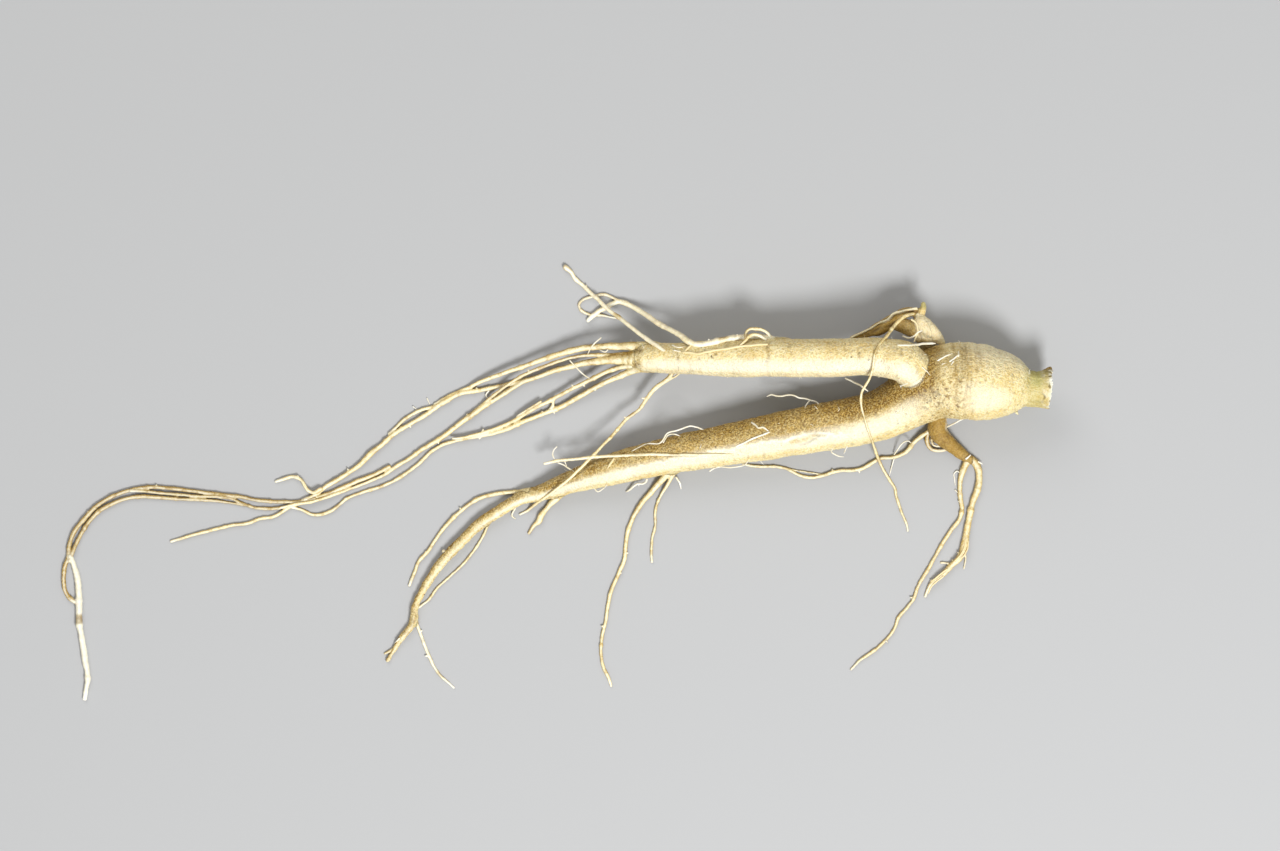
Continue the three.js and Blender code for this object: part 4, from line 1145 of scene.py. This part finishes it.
def between(tree, value, low, high):
    """0 at low and 1 at high."""
    made = tree.nodes.new("ShaderNodeMapRange")
    made.interpolation_type = "SMOOTHSTEP"
    made.inputs["From Min"].default_value = low
    made.inputs["From Max"].default_value = high
    tree.links.new(value, made.inputs["Value"])
    return made.outputs["Result"]


def maths(tree, operation, one, other):
    made = tree.nodes.new("ShaderNodeMath")
    made.operation = operation
    tree.links.new(one, made.inputs[0])
    if isinstance(other, (int, float)):
        made.inputs[1].default_value = other
    else:
        tree.links.new(other, made.inputs[1])
    return made.outputs[0]


def times(tree, one, other):
    return maths(tree, "MULTIPLY", one, other)


def laid_over(tree, under, colour, share):
    """One colour with another, plain or from a node, laid over it by share."""
    made = tree.nodes.new("ShaderNodeMix")
    made.data_type = "RGBA"
    below, above = (socket for socket in made.inputs if socket.type == "RGBA")
    tree.links.new(share, made.inputs["Factor"])
    tree.links.new(under, below)
    if isinstance(colour, tuple):
        above.default_value = (*colour, 1)
    else:
        tree.links.new(colour, above)
    return next(socket for socket in made.outputs if socket.type == "RGBA")


def flecked(tree, under, colour, value, low, high, share):
    """A colour laid over another by share, where a value has gone from low to high."""
    return laid_over(tree, under, colour, times(tree, between(tree, value, low, high), share))


def specks(tree, place, size, share, width):
    """Scattered dots: 1 on a speck and 0 off it. Only some cells of `size` mm hold one."""
    made = tree.nodes.new("ShaderNodeTexVoronoi")
    made.inputs["Scale"].default_value = 1 / size
    tree.links.new(place, made.inputs["Vector"])
    split = tree.nodes.new("ShaderNodeSeparateColor")
    tree.links.new(made.outputs["Color"], split.inputs["Color"])
    chosen = between(tree, split.outputs["Red"], 1 - share, 1 - share + 0.02)
    return times(tree, between(tree, made.outputs["Distance"], width, width * 0.4), chosen)


def skin_material(name, grain_size, roundness, speck_share, bump, matt, even):
    """Skin whose grain is drawn along the root where roundness is above 1, and round it below 1.

    `matt` is its roughness where the grain is low, and `even` is how far the bark is one plain ochre.
    """
    made, tree, surface = material(name)
    place = attribute(tree, "grown", "Vector")
    round_it = stretched(tree, place, (1, roundness, roundness))
    patches = noise_of(tree, place, 5, 3)
    streaks = noise_of(tree, round_it, 1.8 * grain_size, 4, 0.6)
    grain = noise_of(tree, round_it, 0.8 * grain_size, 2, 0.5)
    fine = noise_of(tree, place, 0.42 * grain_size, 1)

    # clean skin: cream with straw streaks and flecks; bark: a fine grain from umber to straw
    clean = ramp(tree, patches, [(0.36, CREAM), (0.56, PALE)])
    clean = flecked(tree, clean, STRAW, streaks, 0.5, 0.68, 0.35)
    clean = flecked(tree, clean, STRAW, fine, 0.48, 0.38, 0.6)
    clean = flecked(tree, clean, WHITE, fine, 0.58, 0.7, 0.5)
    bark = ramp(tree, fine, [(0.42, UMBER), (0.48, TAN), (0.51, TAN), (0.57, STRAW)])
    bark = flecked(tree, bark, UMBER, grain, 0.46, 0.36, 0.5)
    bark = flecked(tree, bark, STRAW, grain, 0.55, 0.66, 0.5)
    bark = flecked(tree, bark, PALE, fine, 0.58, 0.68, 0.85)
    bark = flecked(tree, bark, OCHRE, patches, 0.1, 0.45, even)
    # The stain layer holds real stains and bark, and painted shade as well.
    stain = attribute(tree, "stain")
    colour = laid_over(tree, clean, bark, stain)
    freckled = maths(tree, "ADD", times(tree, stain, 0.5), 0.22)
    colour = flecked(tree, colour, TAN, grain, 0.54, 0.66, freckled)
    colour = flecked(tree, colour, UMBER, fine, 0.6, 0.7, freckled)
    colour = laid_over(tree, colour, BROWN, times(tree, attribute(tree, "dark"), 0.8))
    colour = laid_over(tree, colour, GREEN, times(tree, attribute(tree, "green"), 0.8))
    groups = between(tree, noise_of(tree, place, 7, 2), 0.5, 0.6)
    dots = times(tree, specks(tree, round_it, 1.4, speck_share, 0.2), groups)
    colour = laid_over(tree, colour, BROWN, times(tree, dots, 0.8))
    # The bleach layer holds pale torn skin, rims and whiter rootlets, and painted highlights as well.
    colour = laid_over(tree, colour, WHITE, attribute(tree, "bleach"))
    tree.links.new(colour, surface.inputs["Base Color"])
    tree.links.new(ramp(tree, grain, [(0.3, matt), (0.7, matt + 0.16)]), surface.inputs["Roughness"])

    height = maths(tree, "ADD", times(tree, streaks, 0.5), times(tree, grain, 0.8))
    height = maths(tree, "ADD", height, times(tree, fine, 0.6))
    height = maths(tree, "SUBTRACT", height, times(tree, dots, 0.5))
    raised = tree.nodes.new("ShaderNodeBump")
    raised.inputs["Distance"].default_value = bump * MM
    tree.links.new(height, raised.inputs["Height"])
    tree.links.new(raised.outputs["Normal"], surface.inputs["Normal"])
    surface.inputs["Specular IOR Level"].default_value = 0.25
    surface.inputs["Subsurface Weight"].default_value = 0.08
    surface.inputs["Subsurface Radius"].default_value = (0.0025, 0.0014, 0.0006)
    surface.inputs["Subsurface Scale"].default_value = 1.0
    return made


def hair_material():
    made, tree, surface = material("root_hair")
    place = tree.nodes.new("ShaderNodeTexCoord").outputs["Object"]
    tone = noise_of(tree, stretched(tree, place, (1000, 1000, 1000)), 2.5)
    colour = ramp(tree, tone, [(0.35, (0.74, 0.68, 0.50)), (0.6, (0.90, 0.88, 0.80))])
    colour = laid_over(tree, colour, CREAM, times(tree, attribute(tree, "cream"), 0.8))
    tree.links.new(colour, surface.inputs["Base Color"])
    surface.inputs["Roughness"].default_value = 0.45
    return made


# ---------------------------------------------------------------- the stage

CAMERA_HEIGHT = 1.4
FRAME_WIDTH = 0.320
SENSOR = 36.0
VIEW_MIDDLE = np.array([20.75, 14.25, 0])
FLOOR_SIZE = 3.0


def camera():
    made = bpy.data.cameras.new("camera")
    made.sensor_width = SENSOR
    made.lens = SENSOR * CAMERA_HEIGHT / FRAME_WIDTH
    made.clip_start = 0.01
    made.clip_end = 50
    seen = bpy.data.objects.new("camera", made)
    x, y, _ = (VIEW_MIDDLE + SHIFT) * MM
    seen.location = (x, y, CAMERA_HEIGHT)
    bpy.context.scene.collection.objects.link(seen)
    bpy.context.scene.camera = seen


def lamp(name, location, size, power, colour):
    """A round soft light that faces the root's middle."""
    made = bpy.data.lights.new(name, "AREA")
    made.shape = "DISK"
    made.size = size
    made.energy = power
    made.color = colour
    stand = bpy.data.objects.new(name, made)
    stand.location = location
    stand.rotation_euler = (-Vector(location)).to_track_quat("-Z", "Y").to_euler()
    bpy.context.scene.collection.objects.link(stand)


def floor():
    mesh = bpy.data.meshes.new("floor")
    size = FLOOR_SIZE
    corners = [(-size, -size, 0), (size, -size, 0), (size, size, 0), (-size, size, 0)]
    mesh.from_pydata(corners, [], [(0, 1, 2, 3)])
    piece = bpy.data.objects.new("floor", mesh)
    made, _, surface = material("floor")
    surface.inputs["Base Color"].default_value = (0.40, 0.41, 0.43, 1)
    surface.inputs["Roughness"].default_value = 0.9
    mesh.materials.append(made)
    bpy.context.scene.collection.objects.link(piece)


def studio():
    """A key light, a large fill light from the other side, and a pale surround."""
    lamp("key", (0.34, -0.66, 0.95), size=0.4, power=16, colour=(1.0, 0.99, 0.96))
    lamp("fill", (-0.45, 1.0, 0.9), size=1.0, power=7.5, colour=(1.0, 0.97, 0.91))
    world = bpy.data.worlds.new("studio")
    world.use_nodes = True
    background = world.node_tree.nodes["Background"]
    background.inputs["Color"].default_value = (1, 0.98, 0.93, 1)
    background.inputs["Strength"].default_value = 0.45
    bpy.context.scene.world = world
    bpy.context.scene.view_settings.view_transform = "Standard"


# ---------------------------------------------------------------- the whole


def finish(piece, made):
    piece.data.materials.append(made)
    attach(piece, "root")


camera()
floor()
studio()

body = root_body()
skin = skin_material(
    "root_skin", grain_size=1.0, roundness=0.9, speck_share=0.35, bump=0.5, matt=0.42, even=0.15
)
finish(body.piece, skin)
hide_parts("ginseng_root")
stem = skin_material(
    "stem_skin", grain_size=0.9, roundness=2.0, speck_share=0.35, bump=0.25, matt=0.45, even=0.2
)
finish(stem_stub().piece, stem)
brown = skin_material(
    "side_root_skin", grain_size=0.9, roundness=0.8, speck_share=0.3, bump=0.3, matt=0.48, even=0.7
)
finish(side_roots().piece, brown)
thin = skin_material(
    "rootlet_skin", grain_size=0.7, roundness=1.8, speck_share=0.2, bump=0.12, matt=0.42, even=0.3
)
GROUPS = {
    "side_rootlets": SIDE_ROOTLETS,
    "far_rootlets": FAR_ROOTLETS,
    "lower_leg_rootlets": LOWER_ROOTLETS,
    "bundle_rootlets": BUNDLE_ROOTLETS,
    "far_end_rootlets": FAR_END_ROOTLETS,
}
for n, (name, routes) in enumerate(GROUPS.items()):
    finish(rootlet_skin(name, routes, ROOTLET_SEED + GROUP_SEEDS * n).piece, thin)
finish(root_hairs(body), hair_material())
